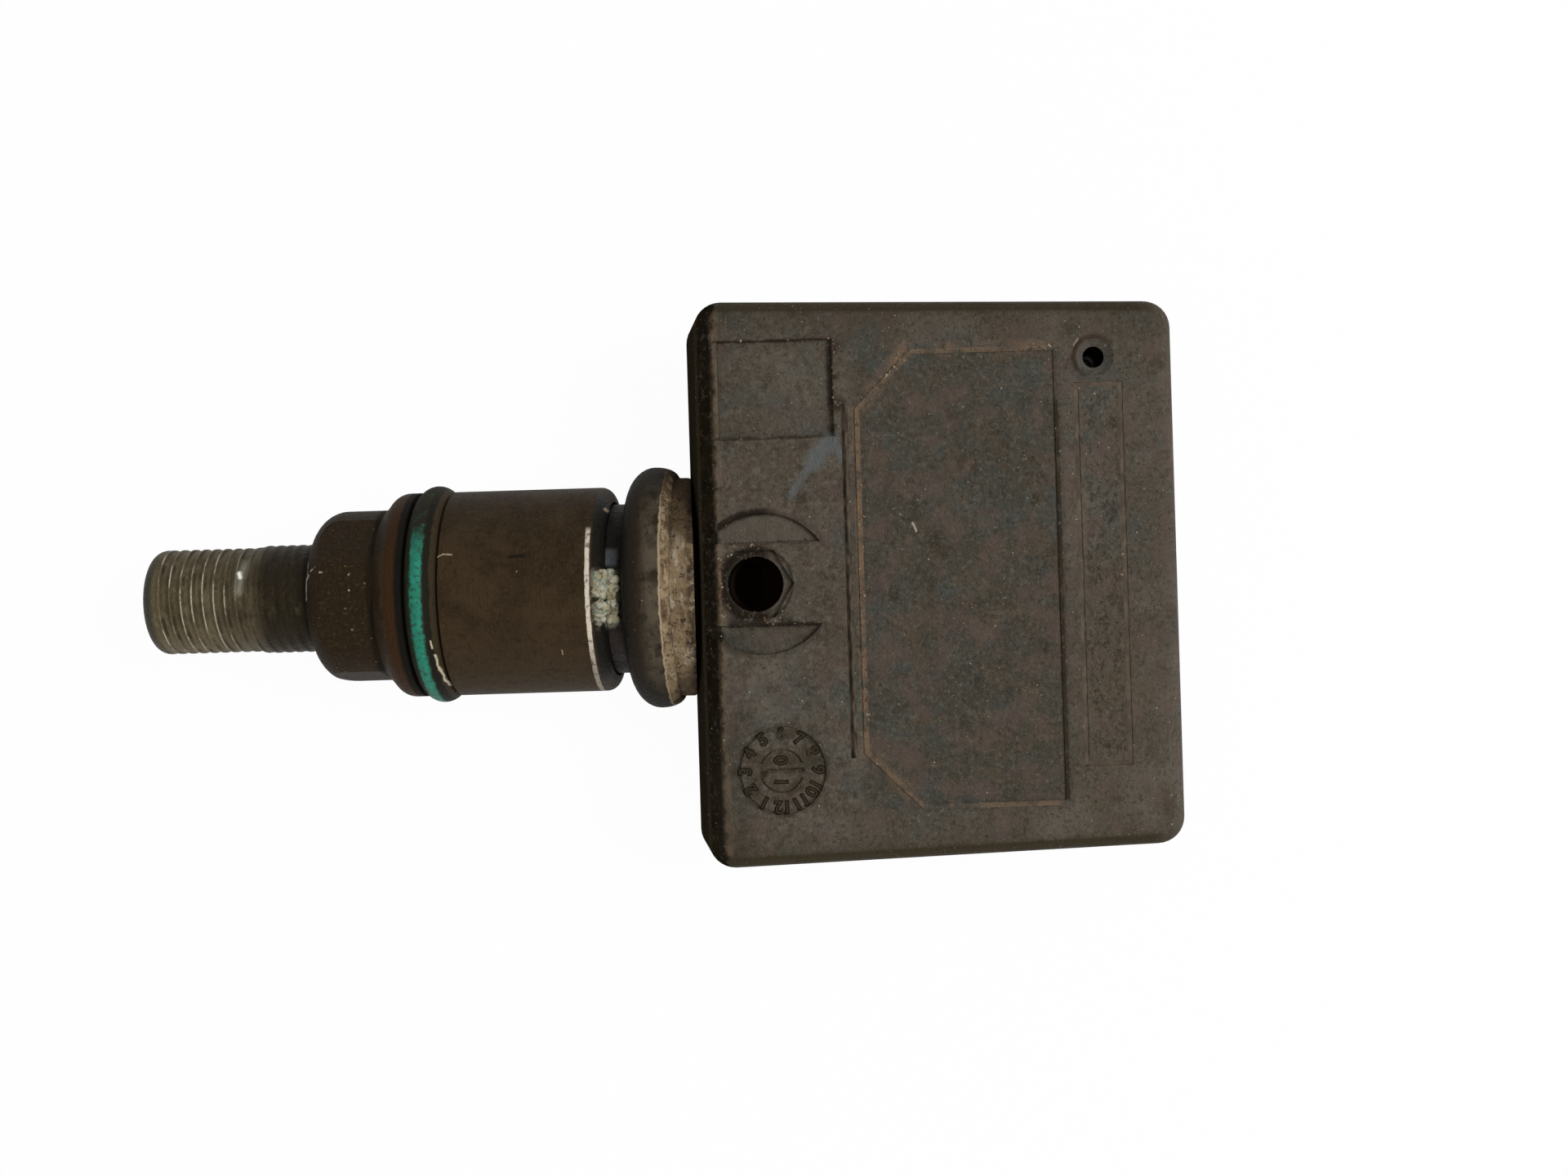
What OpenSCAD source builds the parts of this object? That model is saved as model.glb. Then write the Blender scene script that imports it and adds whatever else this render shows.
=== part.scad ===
// Tyre pressure sensor with a threaded clamp-in valve stem.
// Millimetres. The origin lies on the stem's axis, where the grommet's shoulder meets the rim.
// The stem runs along -X, the housing along +X, and the marked face looks up, along +Z.

/* [Housing] */
// Length of the housing along the stem's axis
housing_l = 34.6; // [32:0.1:40]
// Width of the housing at the stem's end
housing_w = 39.8; // [38:0.1:46]
// How much narrower the far end is than the stem's end
housing_taper = 1.9; // [0:0.1:3]
// Height of the stem's axis above the base
base_drop = 9.2; // [9:0.1:12]
// Height of the marked face above the stem's axis
top_rise = 8.5; // [8:0.1:11]
// Wall of the housing
wall = 1.6; // [1.2:0.1:2]
// Radius of the four upright corners
corner_r = 1.9; // [1.5:0.1:3]
// Radius of the rounded edge of the marked face
edge_r = 1.2; // [0.6:0.1:1.4]
// Chamfer between the marked face and the stem's side
front_chamfer = 1.1; // [0.6:0.1:1.5]
// Lean of the stem's side above the axis, degrees
front_lean = 9.5; // [5:0.5:11]
// Chamfer round the base
base_chamfer = 0.4; // [0.2:0.1:0.6]
// Thickness of the base cover
cover_t = 1.6; // [1.2:0.1:2]

/* [Marked face] */
// Distance of the air hole from the stem's side
air_x = 5.1; // [5:0.1:5.6]
// Diameter of the air hole
air_d = 3.9; // [3:0.1:4.2]
// Diameter of the pressure port
port_d = 1.5; // [1:0.1:1.8]
// Distance of the pressure port from the far end
port_end = 5.5; // [5.5:0.1:8]
// Distance of the pressure port from the long side
port_side = 4; // [4:0.1:6]
// Depth of the two crescents, the square panel and the long groove
recess_depth = 0.5; // [0.2:0.05:0.6]
// Diameter of the ring that the crescents belong to
crescent_d = 9.9; // [9:0.1:11]
// Width of the level band between the crescents
band_w = 5.7; // [5:0.1:6]
// Length of the square panel along the stem's axis
square_l = 8; // [6:0.1:8]
// Width of the square panel
square_w = 6.8; // [5:0.1:7]
// Diameter of the month dial
dial_d = 6.2; // [5:0.1:7]
// Width of the long groove
groove_w = 0.45; // [0.3:0.05:0.5]
// Width of the long strip beside the panel
strip_w = 3.4; // [2.8:0.1:3.6]
// Width of the panel's raised line and the strip's sunken line
line_w = 0.35; // [0.25:0.05:0.5]
// Height of the panel's raised line
line_h = 0.12; // [0.08:0.02:0.2]

/* [Valve stem] */
// Diameter of the plain shaft in the grommet
shaft_d = 9.2; // [8.8:0.1:9.6]
// Distance from the housing face to the stem's tip
stem_l = 39.6; // [38:0.1:44]
// Outer diameter of the nut's thread
nut_thread_d = 7.96; // [7.9:0.01:8.1]
// Outer diameter of the cap thread
cap_thread_d = 7.7; // [7.5:0.05:7.8]
// Length of the cap thread and the tip
cap_thread_l = 8.1; // [7:0.1:9]
// Diameter of the air passage
passage_d = 3.2; // [2.6:0.1:3.4]
// Diameter of the stem's moulded-in flange
root_flange_d = 11.2; // [10.6:0.1:11.6]
// Thickness of that flange
root_flange_t = 1.6; // [1:0.1:2]
// Radius of the rounded tip
tip_r = 0.8; // [0.4:0.1:1]

/* [Washer and grommet] */
// Diameter of the backing washer
washer_d = 16.2; // [15.6:0.1:17]
// Thickness of the backing washer
washer_t = 0.9; // [0.8:0.1:1.4]
// Diameter of the grommet's bulge
bulge_d = 17.8; // [17.4:0.1:17.9]
// Length of the grommet's bulge
bulge_l = 3.65; // [3.2:0.05:4]
// Diameter of the neck that sits in the rim's hole
neck_d = 12.5; // [12.3:0.1:12.8]
// Length of the neck that shows before the nut
neck_l = 1.1; // [1:0.1:2]
// Length of the thinner collar inside the nut
collar_l = 3.4; // [2:0.1:4]

/* [Sleeve nut] */
// Diameter of the sleeve
sleeve_d = 15.06; // [14.8:0.02:15.4]
// Length of the whole nut
nut_l = 21.75; // [21.5:0.05:24]
// Width across the flats of the hexagon
hex_af = 12; // [11.5:0.1:12.3]
// Diameter that the hexagon's corners are turned to
hex_round_d = 12.7; // [12.4:0.1:12.9]
// Length of the hexagon with its domed nose
hex_l = 4.9; // [4.5:0.1:6.5]
// Turn of one corner of the hexagon from straight up, degrees
hex_turn = 11.5; // [0:0.5:60]
// Length of the flare between hexagon and collar
flare_l = 1.9; // [1.5:0.1:2.4]
// Length of the internal thread
nut_thread_l = 9; // [7:0.1:9.5]
// Bore of the sleeve over the grommet's collar
sleeve_bore_d = 12.9; // [12.9:0.1:13.2]
// Radius of the sleeve's open end
sleeve_end_r = 0.9; // [0.4:0.1:1]

/* [Colour ring] */
// Diameter of the ring's cord
ring_cord_d = 2.4; // [2:0.1:2.6]
// Diameter over the ring
ring_d = 16; // [15.8:0.1:16.4]
// Distance of the ring's middle from the start of the nut's flare
ring_at = 2.05; // [1.8:0.05:2.5]

/* [Valve core] */
// Diameter of the core's threaded head
core_head_d = 5.1; // [4.8:0.1:5.2]
// Length of the core's threaded head
core_head_l = 3; // [2.5:0.1:3.5]
// Diameter of the core's barrel
core_barrel_d = 3.6; // [3.4:0.1:3.8]
// Length of the core's barrel
core_barrel_l = 8.6; // [8:0.1:10]
// Diameter of the core's pin
core_pin_d = 1.1; // [1:0.05:1.2]
// Travel of the core's pin
core_travel = 1.2; // [0.8:0.1:1.5]
// Depth of the core's head below the stem's tip
core_sink = 0.9; // [0.6:0.1:1.2]
// Diameter of the spring's wire
spring_wire_d = 0.25; // [0.2:0.01:0.28]
// Turns of the spring
spring_turns = 6; // [5:1:8]

/* [Electronics] */
// Thickness of the circuit board
board_t = 1; // [0.8:0.1:1.6]
// Height of the board's upper face above the stem's axis
board_z = 0.4; // [0.2:0.1:0.8]
// Diameter of the coin cell
cell_d = 20; // [16:0.5:20]
// Thickness of the coin cell
cell_t = 5; // [3.2:0.1:5]
// Thickness of the cell's tabs
tab_t = 0.3; // [0.2:0.05:0.3]
// Diameter of the sensor's can
sensor_d = 4.4; // [4:0.1:4.6]
// Height of the sensor's can
sensor_h = 2.6; // [2:0.1:3]
// Height of the rubber seal between sensor and port
seal_h = 1.2; // [0.8:0.1:1.5]

/* [Hidden] */

// Clearances: a running fit and a loose fit. A cut reaches past the surface that it opens.
fit = 0.05;
loose = 0.1;
cut = 1;

// Sides of large, middling and small rounds
fine = 96;
medium = 48;
coarse = 32;

z_base = -base_drop;
z_top = top_rise;
z_roof = z_top - wall;
z_cover = z_base + cover_t;
z_board_low = board_z - board_t;

// Distances along the stem, measured outwards from the housing face
shaft_margin = 0.2;
thread_cone_l = 0.6;
s_grommet = washer_t;
s_neck = s_grommet + bulge_l;
s_sleeve = s_neck + neck_l;
s_collar = s_sleeve + collar_l;
s_shaft = s_collar + shaft_margin;
s_nose = s_sleeve + nut_l;
s_hex = s_nose - hex_l;
s_flare = s_hex - flare_l;
s_ring = s_flare - ring_at;
s_nut_thread = s_nose - nut_thread_l;
s_cap_thread = stem_l - cap_thread_l;

// The grommet's bulge is widest a little nearer the washer, and its collar clears the sleeve's bore
bulge_crest = s_grommet + bulge_l * 0.44;
bulge_foot_r = washer_d / 2 + fit;
collar_clear = 0.5;
collar_d = sleeve_bore_d - 2 * collar_clear;

// The nut: depth of the bore over the collar, relief over the stem's thread, groove and domed nose
collar_room = 0.4;
thread_relief = 0.7;
nose_dome_r = 2.2;
nose_angle = 78;
flare_angle = 60;
hex_root_step = 0.4;

// The core's parts, measured the same way
core_end_wall = 1.4;
core_top_wall = 0.8;
core_bore_d = 2.4;
core_rim_t = 0.7;
core_floor_t = 1;
core_slot_w = 1.3;
core_slot_depth = 1;
core_seal_t = 0.4;
core_seal_l = 1.6;
core_cup_l = 1.6;
core_cup_step = 0.2;
core_cone_l = 0.8;
pin_sink = 0.3;
pin_collar_t = 0.5;
mouth_chamfer = 0.3;
core_seat_d = core_barrel_d + 2 * core_seal_t;
s_core = stem_l - core_sink;
s_core_head = s_core - core_head_l;
s_core_end = s_core_head - core_barrel_l;
s_core_seat = s_core_head - core_cone_l;
s_core_room = s_core_end - core_cup_l - core_travel - core_cone_l;
s_spring_fixed = s_core_end + core_end_wall;
s_spring_free = s_core_head - core_top_wall - core_travel;
spring_gap = 0.15;
spring_r = core_pin_d / 2 + spring_wire_d / 2 + spring_gap;
spring_steps = 14;
spring_sides = 6;

// The cell fills the room behind the stem's root, and the root is as long as the cell lets it be
cell_gap = 0.35;
cell_end_gap = 0.4;
cell_side_gap = 1.6;
cell_well_gap = 0.2;
cell_lip = 0.4;
cell_x = housing_l - wall - cell_end_gap - cell_d / 2;
cell_y = cell_d / 2 + cell_side_gap + wall - half_width(cell_x);
cell_z = board_z + 2 * tab_t;
boss_end = cell_x - cell_d / 2 - cell_gap;
boss_l = boss_end - wall;
root_l = boss_l - root_flange_t;
boss_wall = 1.3;
boss_r = root_flange_d / 2 + boss_wall;

// The electronics' room inside the housing
room_front = front_chamfer + (z_top - front_chamfer) * tan(front_lean) + wall;
room_r = 1;
port_x = housing_l - port_end;
port_y = half_width(port_x) - port_side;
port_sink_d = 3;
sensor_top = board_z + sensor_h;
sensor_bore_d = 1;
seal_top = sensor_top + seal_h;

// The posts that hold the board, each with a peg through it
post_r = 1.4;
post_inset = 2;
peg_r = 0.7;
port_post_gap = 8;
post_spots = [
  [room_front + post_inset, half_width(0) - wall - post_inset],
  [room_front + post_inset, post_inset + wall - half_width(0)],
  [housing_l - wall - post_inset, post_inset + wall - half_width(housing_l)],
  [port_x - port_post_gap, half_width(port_x) - wall - post_inset]
];

// What stands on the board and hangs under it
tab_w = 3;
tab_reach = 3;
leg_gap = 0.6;
chip_w = 7;
chip_h = 1.6;
crystal_l = 3.2;
crystal_r = 0.8;
crystal_h = 1.2;
loop_wire = 0.8;
loop_h = 4;
loop_w = 7;
loop_side_gap = 2.9;
loop_x = boss_end + 2;
loop_y = half_width(loop_x) - wall - loop_side_gap - loop_w;
coil_core_w = 2.4;
coil_l = 7;
winding_t = 0.5;
winding_l = 4;
coil_w = coil_core_w + 2 * winding_t;
boss_gap = 0.4;
coil_x = boss_end - boss_gap - coil_w;
coil_y = -boss_r - boss_gap - coil_l;
switch_d = 3;
switch_l = 6;
switch_gap = 1.2;
chip_part = [1.6, 0.8, 0.6];
chip_part_step = 3;
chip_row_step = 2;

// Places on the marked face
crescent_shift = 0.55;
seat_margin = 0.75;
seat_front = 2.2;
groove_gap = 0.8;
groove_x = air_x + crescent_shift + crescent_d / 2 + groove_gap;
groove_side = 7.3;
square_gap = 0.5;
square_side = 3;
dial_gap = 1.75;
dial_side = 6.9;
dial_line = 0.25;
dial_depth = recess_depth * 0.4;
dial_bar = 1;
dial_x = groove_x - dial_gap - dial_d / 2;
dial_y = dial_side - half_width(0);
strip_end = 3.6;
strip_side = 5.8;
strip_gap = 1;
strip_depth = recess_depth / 2;
strip_x = housing_l - strip_end - strip_w;
strip_half = half_width(strip_x) - strip_side;
panel_x = groove_x + groove_w + strip_gap / 2;
panel_end = strip_x - strip_gap;
panel_side = 3.2;
panel_half = half_width(panel_end) - panel_side;
panel_corner = 4;

function half_width(x) = housing_w / 2 - x * housing_taper / 2 / housing_l;

// X of the stem's side at height z: upright below the axis, leaning above it
function front_x(z) =
  let (lean_z = min(max(z, 0), z_top - front_chamfer))
  lean_z * tan(front_lean) + max(0, z - (z_top - front_chamfer));

// How far the other sides step in at height z
function side_inset(z) =
  z < z_base + base_chamfer ? z_base + base_chamfer - z
  : z < z_top - edge_r ? 0
  : edge_r - sqrt(max(0, edge_r * edge_r - pow(z - z_top + edge_r, 2)));

function arc(c, r, from, to, steps = 8) =
  [for (i = [0:steps]) let (a = from + (to - from) * i / steps) [c[0] + r * cos(a), c[1] + r * sin(a)]];

// Radius of the grommet's bulge at distance s along the stem
function bulge_r(s) =
  let (
    low_r = s < bulge_crest ? bulge_foot_r : neck_d / 2,
    reach = s < bulge_crest ? bulge_crest - s_grommet : s_neck - bulge_crest
  )
  low_r + (bulge_d / 2 - low_r) * sqrt(max(0, 1 - pow((s - bulge_crest) / reach, 2)));

// Shapes are drawn from the housing face, and the origin lies one grommet further out
module from_seat() translate([s_neck, 0, 0]) children();

// Turns a shape that stands along +Z so that it runs outwards along the stem
module along_stem() rotate([0, -90, 0]) children();

// A round bar or hole between two distances along the stem
module stem_round(d, from, to) translate([0, 0, from]) cylinder(d = d, h = to - from, $fn = fine);

module corner_discs(z, h, inset) {
  r = corner_r - inset;
  x0 = front_x(z) + (z < 0 ? inset : 0) + r;
  x1 = housing_l - inset - r;
  for (side = [-1, 1]) {
    translate([x0, side * (half_width(x0) - inset - r), z]) cylinder(r = r, h = h, $fn = coarse);
    translate([x1, side * (half_width(x1) - inset - r), z]) cylinder(r = r, h = h, $fn = coarse);
  }
}

module housing_outside() {
  sheet = 0.001;
  steps = 5;
  z_edge = z_top - edge_r;
  levels = concat(
    [z_base, z_base + base_chamfer, 0, z_edge, z_top - front_chamfer],
    [for (i = [1:steps]) z_edge + edge_r * sin(90 * i / steps) - (i == steps ? sheet : 0)]
  );
  hull() for (z = levels) corner_discs(z, sheet, side_inset(z));
}

// The room's outline between two heights, kept the given gap clear of the walls
module room_block(z0, z1, gap = 0) {
  x0 = room_front + gap + room_r;
  x1 = housing_l - wall - gap - room_r;
  hull() for (x = [x0, x1], side = [-1, 1])
    translate([x, side * (half_width(x) - wall - gap - room_r), z0])
      cylinder(r = room_r, h = z1 - z0, $fn = coarse);
}

// The boss that the stem's root is moulded into
module stem_boss() rotate([0, 90, 0]) cylinder(r = boss_r, h = boss_end, $fn = fine);

// Room for the cell under the roof, and for the sensor beside the wall
module wells() {
  translate([cell_x, cell_y, board_z])
    cylinder(d = cell_d + 2 * cell_well_gap, h = cell_z + cell_t + tab_t + cell_well_gap - board_z, $fn = fine);
  translate([port_x, port_y, board_z])
    cylinder(d = sensor_d + 2 * loose, h = seal_top - board_z, $fn = medium);
}

module posts() {
  for (p = post_spots) translate([p[0], p[1], board_z]) {
    cylinder(r = post_r, h = z_roof - board_z + wall / 2, $fn = coarse);
    translate([0, 0, -board_t - peg_r]) cylinder(r = peg_r, h = board_t + peg_r + cut, $fn = coarse);
  }
}

module crescents() {
  translate([air_x, 0, z_top - recess_depth]) intersection() {
    translate([crescent_shift, 0, 0]) cylinder(d = crescent_d, h = cut, $fn = fine);
    for (side = [-1, 1])
      translate([-crescent_d, side * (band_w + crescent_d) / 2 - crescent_d / 2, 0])
        cube([2 * crescent_d, crescent_d, cut]);
  }
}

// A shallow six-sided seat round the air hole, cut straight on the stem's side
module air_seat() {
  seat_r = air_d / 2 + seat_margin;
  translate([air_x, 0, z_top - recess_depth]) intersection() {
    cylinder(r = seat_r, h = cut, $fn = 6);
    translate([-seat_front, -seat_r, 0]) cube([2 * seat_r, 2 * seat_r, cut]);
  }
}

module square_panel() {
  translate([groove_x - square_gap - square_l, half_width(0) - square_side - square_w, z_top - recess_depth])
    cube([square_l, square_w, cut]);
}

// An outer ring, an inner ring open on two sides, and a bar across its middle
module dial_cuts() {
  translate([dial_x, dial_y, z_top - dial_depth]) {
    difference() {
      cylinder(d = dial_d, h = cut, $fn = fine);
      cylinder(d = dial_d - 2 * dial_line, h = 3 * cut, center = true, $fn = fine);
    }
    difference() {
      cylinder(d = dial_d / 2, h = cut, $fn = medium);
      cylinder(d = dial_d / 2 - dial_line, h = 3 * cut, center = true, $fn = medium);
      translate([-dial_d, -dial_bar / 2, -cut]) cube([2 * dial_d, dial_bar, 3 * cut]);
    }
    translate([-dial_d / 4, -dial_line / 2, 0]) cube([dial_d / 2, dial_line, cut]);
  }
}

module long_groove() {
  half = half_width(groove_x) - groove_side;
  translate([groove_x, -half, z_top - recess_depth]) cube([groove_w, 2 * half, cut]);
}

// The panel's outline, stepped inwards, with its two clipped corners
function panel_points(inset) =
  let (x0 = panel_x + inset, x1 = panel_end - inset, h = panel_half - inset,
       c = panel_corner - inset * (1 - tan(22.5)))
  [[x0, c - h], [x0, h - c], [x0 + c, h], [x1, h], [x1, -h], [x0 + c, -h]];

module panel_line() {
  translate([0, 0, z_top - fit]) linear_extrude(line_h + fit) difference() {
    polygon(panel_points(0));
    polygon(panel_points(line_w));
  }
}

// A sunken line round the long strip beside the panel
module strip_line() {
  translate([strip_x, -strip_half, z_top - strip_depth]) difference() {
    cube([strip_w, 2 * strip_half, cut]);
    translate([line_w, line_w, -cut]) cube([strip_w - 2 * line_w, 2 * strip_half - 2 * line_w, 3 * cut]);
  }
}

// The pressure port with its countersink
module port() {
  translate([port_x, port_y, 0]) cylinder(d = port_d, h = z_top + cut, $fn = medium);
  translate([port_x, port_y, z_top - recess_depth])
    cylinder(d1 = port_d + fit, d2 = port_sink_d, h = recess_depth + loose, $fn = medium);
}

module housing() color([0.28, 0.25, 0.22]) from_seat() difference() {
  union() {
    difference() {
      housing_outside();
      room_block(z_base - cut, z_roof);
      wells();
    }
    intersection() {
      housing_outside();
      union() {
        stem_boss();
        translate([0, -boss_r, 0]) cube([boss_end, 2 * boss_r, z_top]);
      }
    }
    translate([port_x, port_y, seal_top]) cylinder(d = sensor_d, h = z_top - seal_top - wall / 2, $fn = medium);
    posts();
    panel_line();
  }
  along_stem() stem_round(shaft_d, -root_l, cut);
  along_stem() stem_round(root_flange_d, -boss_l, -root_l);
  translate([air_x, 0, 0]) cylinder(d = air_d, h = z_top + cut, $fn = medium);
  port();
  crescents();
  air_seat();
  square_panel();
  dial_cuts();
  long_groove();
  strip_line();
}

module base_cover() color([0.2, 0.18, 0.16]) from_seat() room_block(z_base, z_cover, fit);

module potting() color([0.35, 0.36, 0.33]) from_seat() difference() {
  room_block(z_cover, z_board_low - chip_h - loose);
  stem_boss();
}

module circuit_board() color([0.1, 0.35, 0.18]) from_seat() difference() {
  half = boss_r + loose;
  room_block(z_board_low, board_z, loose);
  translate([0, -half, z_board_low - cut]) cube([boss_end + loose, 2 * half, board_t + 2 * cut]);
  for (p = post_spots)
    translate([p[0], p[1], z_board_low - cut]) cylinder(r = peg_r + fit, h = board_t + 2 * cut, $fn = coarse);
}

module battery_cell() color([0.75, 0.76, 0.78]) from_seat() translate([cell_x, cell_y, cell_z]) {
  cylinder(d = cell_d - 4 * cell_lip, h = cell_lip, $fn = fine);
  translate([0, 0, cell_lip]) cylinder(d = cell_d, h = cell_t - cell_lip, $fn = fine);
}

// The strip on the cell's upper face, with a leg down to the board
module battery_tab_top() color([0.8, 0.79, 0.72]) from_seat() {
  top = cell_z + cell_t;
  leg_y = cell_y + cell_d / 2 + leg_gap;
  translate([cell_x - tab_w / 2, leg_y - tab_reach, top]) cube([tab_w, tab_reach + tab_t, tab_t]);
  translate([cell_x - tab_w / 2, leg_y, board_z]) cube([tab_w, tab_t, top - board_z + tab_t]);
}

// The strip under the cell, with a foot on the board
module battery_tab_bottom() color([0.8, 0.79, 0.72]) from_seat() {
  translate([cell_x - tab_w / 2, cell_y - tab_reach, cell_z - tab_t]) cube([tab_w, 2 * tab_reach, tab_t]);
  translate([cell_x - tab_w / 2, cell_y - tab_t, board_z]) cube([tab_w, 2 * tab_t, cell_z - board_z]);
}

module pressure_sensor() color([0.7, 0.7, 0.7]) from_seat() difference() {
  translate([port_x, port_y, board_z]) cylinder(d = sensor_d, h = sensor_h, $fn = medium);
  translate([port_x, port_y, sensor_top - sensor_bore_d])
    cylinder(d = sensor_bore_d, h = sensor_bore_d + cut, $fn = coarse);
}

module port_seal() color([0.15, 0.15, 0.15]) from_seat() translate([port_x, port_y, sensor_top]) difference() {
  cylinder(d = sensor_d, h = seal_h, $fn = medium);
  translate([0, 0, -cut]) cylinder(d = port_d, h = seal_h + 2 * cut, $fn = medium);
}

module controller_chip() color([0.12, 0.12, 0.13]) from_seat()
  translate([cell_x - chip_w / 2, cell_y - chip_w / 2, z_board_low - chip_h]) cube([chip_w, chip_w, chip_h]);

module crystal() color([0.78, 0.78, 0.76]) from_seat()
  translate([cell_x - crystal_l / 2, cell_y + chip_w, z_board_low - crystal_h]) linear_extrude(crystal_h) {
    translate([0, -crystal_r]) square([crystal_l, 2 * crystal_r]);
    for (x = [0, crystal_l]) translate([x, 0]) circle(r = crystal_r, $fn = medium);
  }

// A wire loop that stands on the board
module antenna_loop() color([0.75, 0.55, 0.3]) from_seat() {
  for (y = [loop_y, loop_y + loop_w]) translate([loop_x, y, board_z]) {
    cylinder(d = loop_wire, h = loop_h, $fn = coarse);
    translate([0, 0, loop_h]) sphere(d = loop_wire, $fn = coarse);
  }
  translate([loop_x, loop_y, board_z + loop_h]) rotate([-90, 0, 0])
    cylinder(d = loop_wire, h = loop_w, $fn = coarse);
}

// The space that the winding takes on its core
module winding_block(grow = 0) {
  translate([coil_x - grow, coil_y + (coil_l - winding_l) / 2, board_z - grow])
    cube([coil_w + 2 * grow, winding_l, coil_w + 2 * grow]);
}

module receiver_core() color([0.25, 0.25, 0.27]) from_seat() difference() {
  translate([coil_x, coil_y, board_z]) cube([coil_w, coil_l, coil_w]);
  difference() {
    winding_block(cut);
    translate([coil_x + winding_t, coil_y, board_z + winding_t]) cube([coil_core_w, coil_l, coil_core_w]);
  }
}

module receiver_winding() color([0.7, 0.35, 0.15]) from_seat() difference() {
  winding_block();
  translate([coil_x + winding_t, coil_y, board_z + winding_t]) cube([coil_core_w, coil_l, coil_core_w]);
}

// Eight small resistors and capacitors in two rows under the board
module chip_parts() color([0.55, 0.45, 0.35]) from_seat()
  for (row = [0, 1], i = [0:3])
    translate([
      cell_x + (i - 1.5) * chip_part_step - chip_part[0] / 2,
      cell_y - chip_w - row * chip_row_step,
      z_board_low - chip_part[2]
    ]) cube(chip_part);

module motion_switch() color([0.72, 0.7, 0.6]) from_seat()
  translate([room_front + boss_gap, boss_r + switch_gap + switch_d / 2, board_z + switch_d / 2])
    rotate([0, 90, 0]) cylinder(d = switch_d, h = switch_l, $fn = medium);

module valve_stem() color([0.5, 0.48, 0.4]) from_seat() difference() {
  along_stem() rotate_extrude($fn = fine) polygon(concat(
    [
      [0, -boss_l], [root_flange_d / 2, -boss_l], [root_flange_d / 2, -root_l], [shaft_d / 2, -root_l],
      [shaft_d / 2, s_shaft], [nut_thread_d / 2, s_shaft + thread_cone_l], [nut_thread_d / 2, s_cap_thread],
      [cap_thread_d / 2, s_cap_thread + thread_cone_l]
    ],
    arc([cap_thread_d / 2 - tip_r, stem_l - tip_r], tip_r, 0, 90),
    [[0, stem_l]]
  ));
  along_stem() rotate_extrude($fn = fine) polygon([
    [0, -air_x], [passage_d / 2, -air_x], [passage_d / 2, s_core_room],
    [core_seat_d / 2, s_core_room + core_cone_l], [core_seat_d / 2, s_core_seat],
    [core_head_d / 2 + fit, s_core_head], [core_head_d / 2 + fit, stem_l - mouth_chamfer],
    [core_head_d / 2 + fit + mouth_chamfer, stem_l], [core_head_d / 2 + fit + mouth_chamfer, stem_l + cut],
    [0, stem_l + cut]
  ]);
  translate([air_x, 0, 0]) cylinder(d = air_d, h = shaft_d, $fn = medium);
}

module backing_washer() color([0.47, 0.4, 0.31]) from_seat() along_stem() difference() {
  cylinder(d = washer_d, h = washer_t, $fn = fine);
  stem_round(shaft_d + 2 * fit, -cut, washer_t + cut);
}

module rim_grommet() color([0.1, 0.09, 0.08]) from_seat() along_stem() {
  rise = bulge_crest - s_grommet;
  fall = s_neck - bulge_crest;
  rotate_extrude($fn = fine) polygon(concat(
    [[shaft_d / 2, s_grommet]],
    [for (i = [0:8]) let (s = s_grommet + rise * (1 - cos(90 * i / 8))) [bulge_r(s), s]],
    [for (i = [1:10]) let (s = bulge_crest + fall * sin(90 * i / 10)) [bulge_r(s), s]],
    [[neck_d / 2, s_sleeve], [collar_d / 2, s_sleeve], [collar_d / 2, s_collar], [shaft_d / 2, s_collar]]
  ));
}

// The turned outside of the nut: open end, sleeve, ring groove, collar and flare
module nut_outside() {
  r = sleeve_d / 2;
  half = ring_cord_d / 2 + loose;
  floor_r = ring_d / 2 - ring_cord_d - fit;
  flare_r = (sleeve_d - hex_round_d) / 2;
  rotate_extrude($fn = fine) polygon(concat(
    [[0, s_sleeve], [r - sleeve_end_r, s_sleeve]],
    arc([r - sleeve_end_r, s_sleeve + sleeve_end_r], sleeve_end_r, -90, 0),
    [[r, s_ring - half], [floor_r, s_ring - half], [floor_r, s_ring + half], [r, s_ring + half]],
    arc([r - flare_r, s_flare], flare_r, 0, flare_angle),
    [[hex_round_d / 2 - hex_root_step, s_hex], [0, s_hex]]
  ));
}

// The hexagon, its corners turned down and its nose domed
module nut_hex() {
  foot = s_hex - flare_l;
  intersection() {
    translate([0, 0, foot]) rotate([0, 0, hex_turn])
      cylinder(r = hex_af / 2 / cos(30), h = s_nose - foot, $fn = 6);
    rotate_extrude($fn = fine) polygon(concat(
      [[0, foot], [hex_round_d / 2, foot]],
      arc([hex_round_d / 2 - nose_dome_r, s_nose - nose_dome_r], nose_dome_r, 0, nose_angle),
      [[0, s_nose]]
    ));
  }
}

module sleeve_nut() color([0.17, 0.14, 0.1]) from_seat() along_stem() difference() {
  union() {
    nut_outside();
    nut_hex();
  }
  stem_round(nut_thread_d + 2 * fit, s_nut_thread - cut, s_nose + cut);
  stem_round(nut_thread_d + 2 * thread_relief, s_sleeve - cut, s_nut_thread);
  stem_round(sleeve_bore_d, s_sleeve - cut, s_collar + collar_room);
}

module colour_ring() color([0.1, 0.4, 0.3]) from_seat() along_stem() translate([0, 0, s_ring])
  rotate_extrude($fn = fine) translate([(ring_d - ring_cord_d) / 2, 0]) circle(d = ring_cord_d, $fn = medium);

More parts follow.
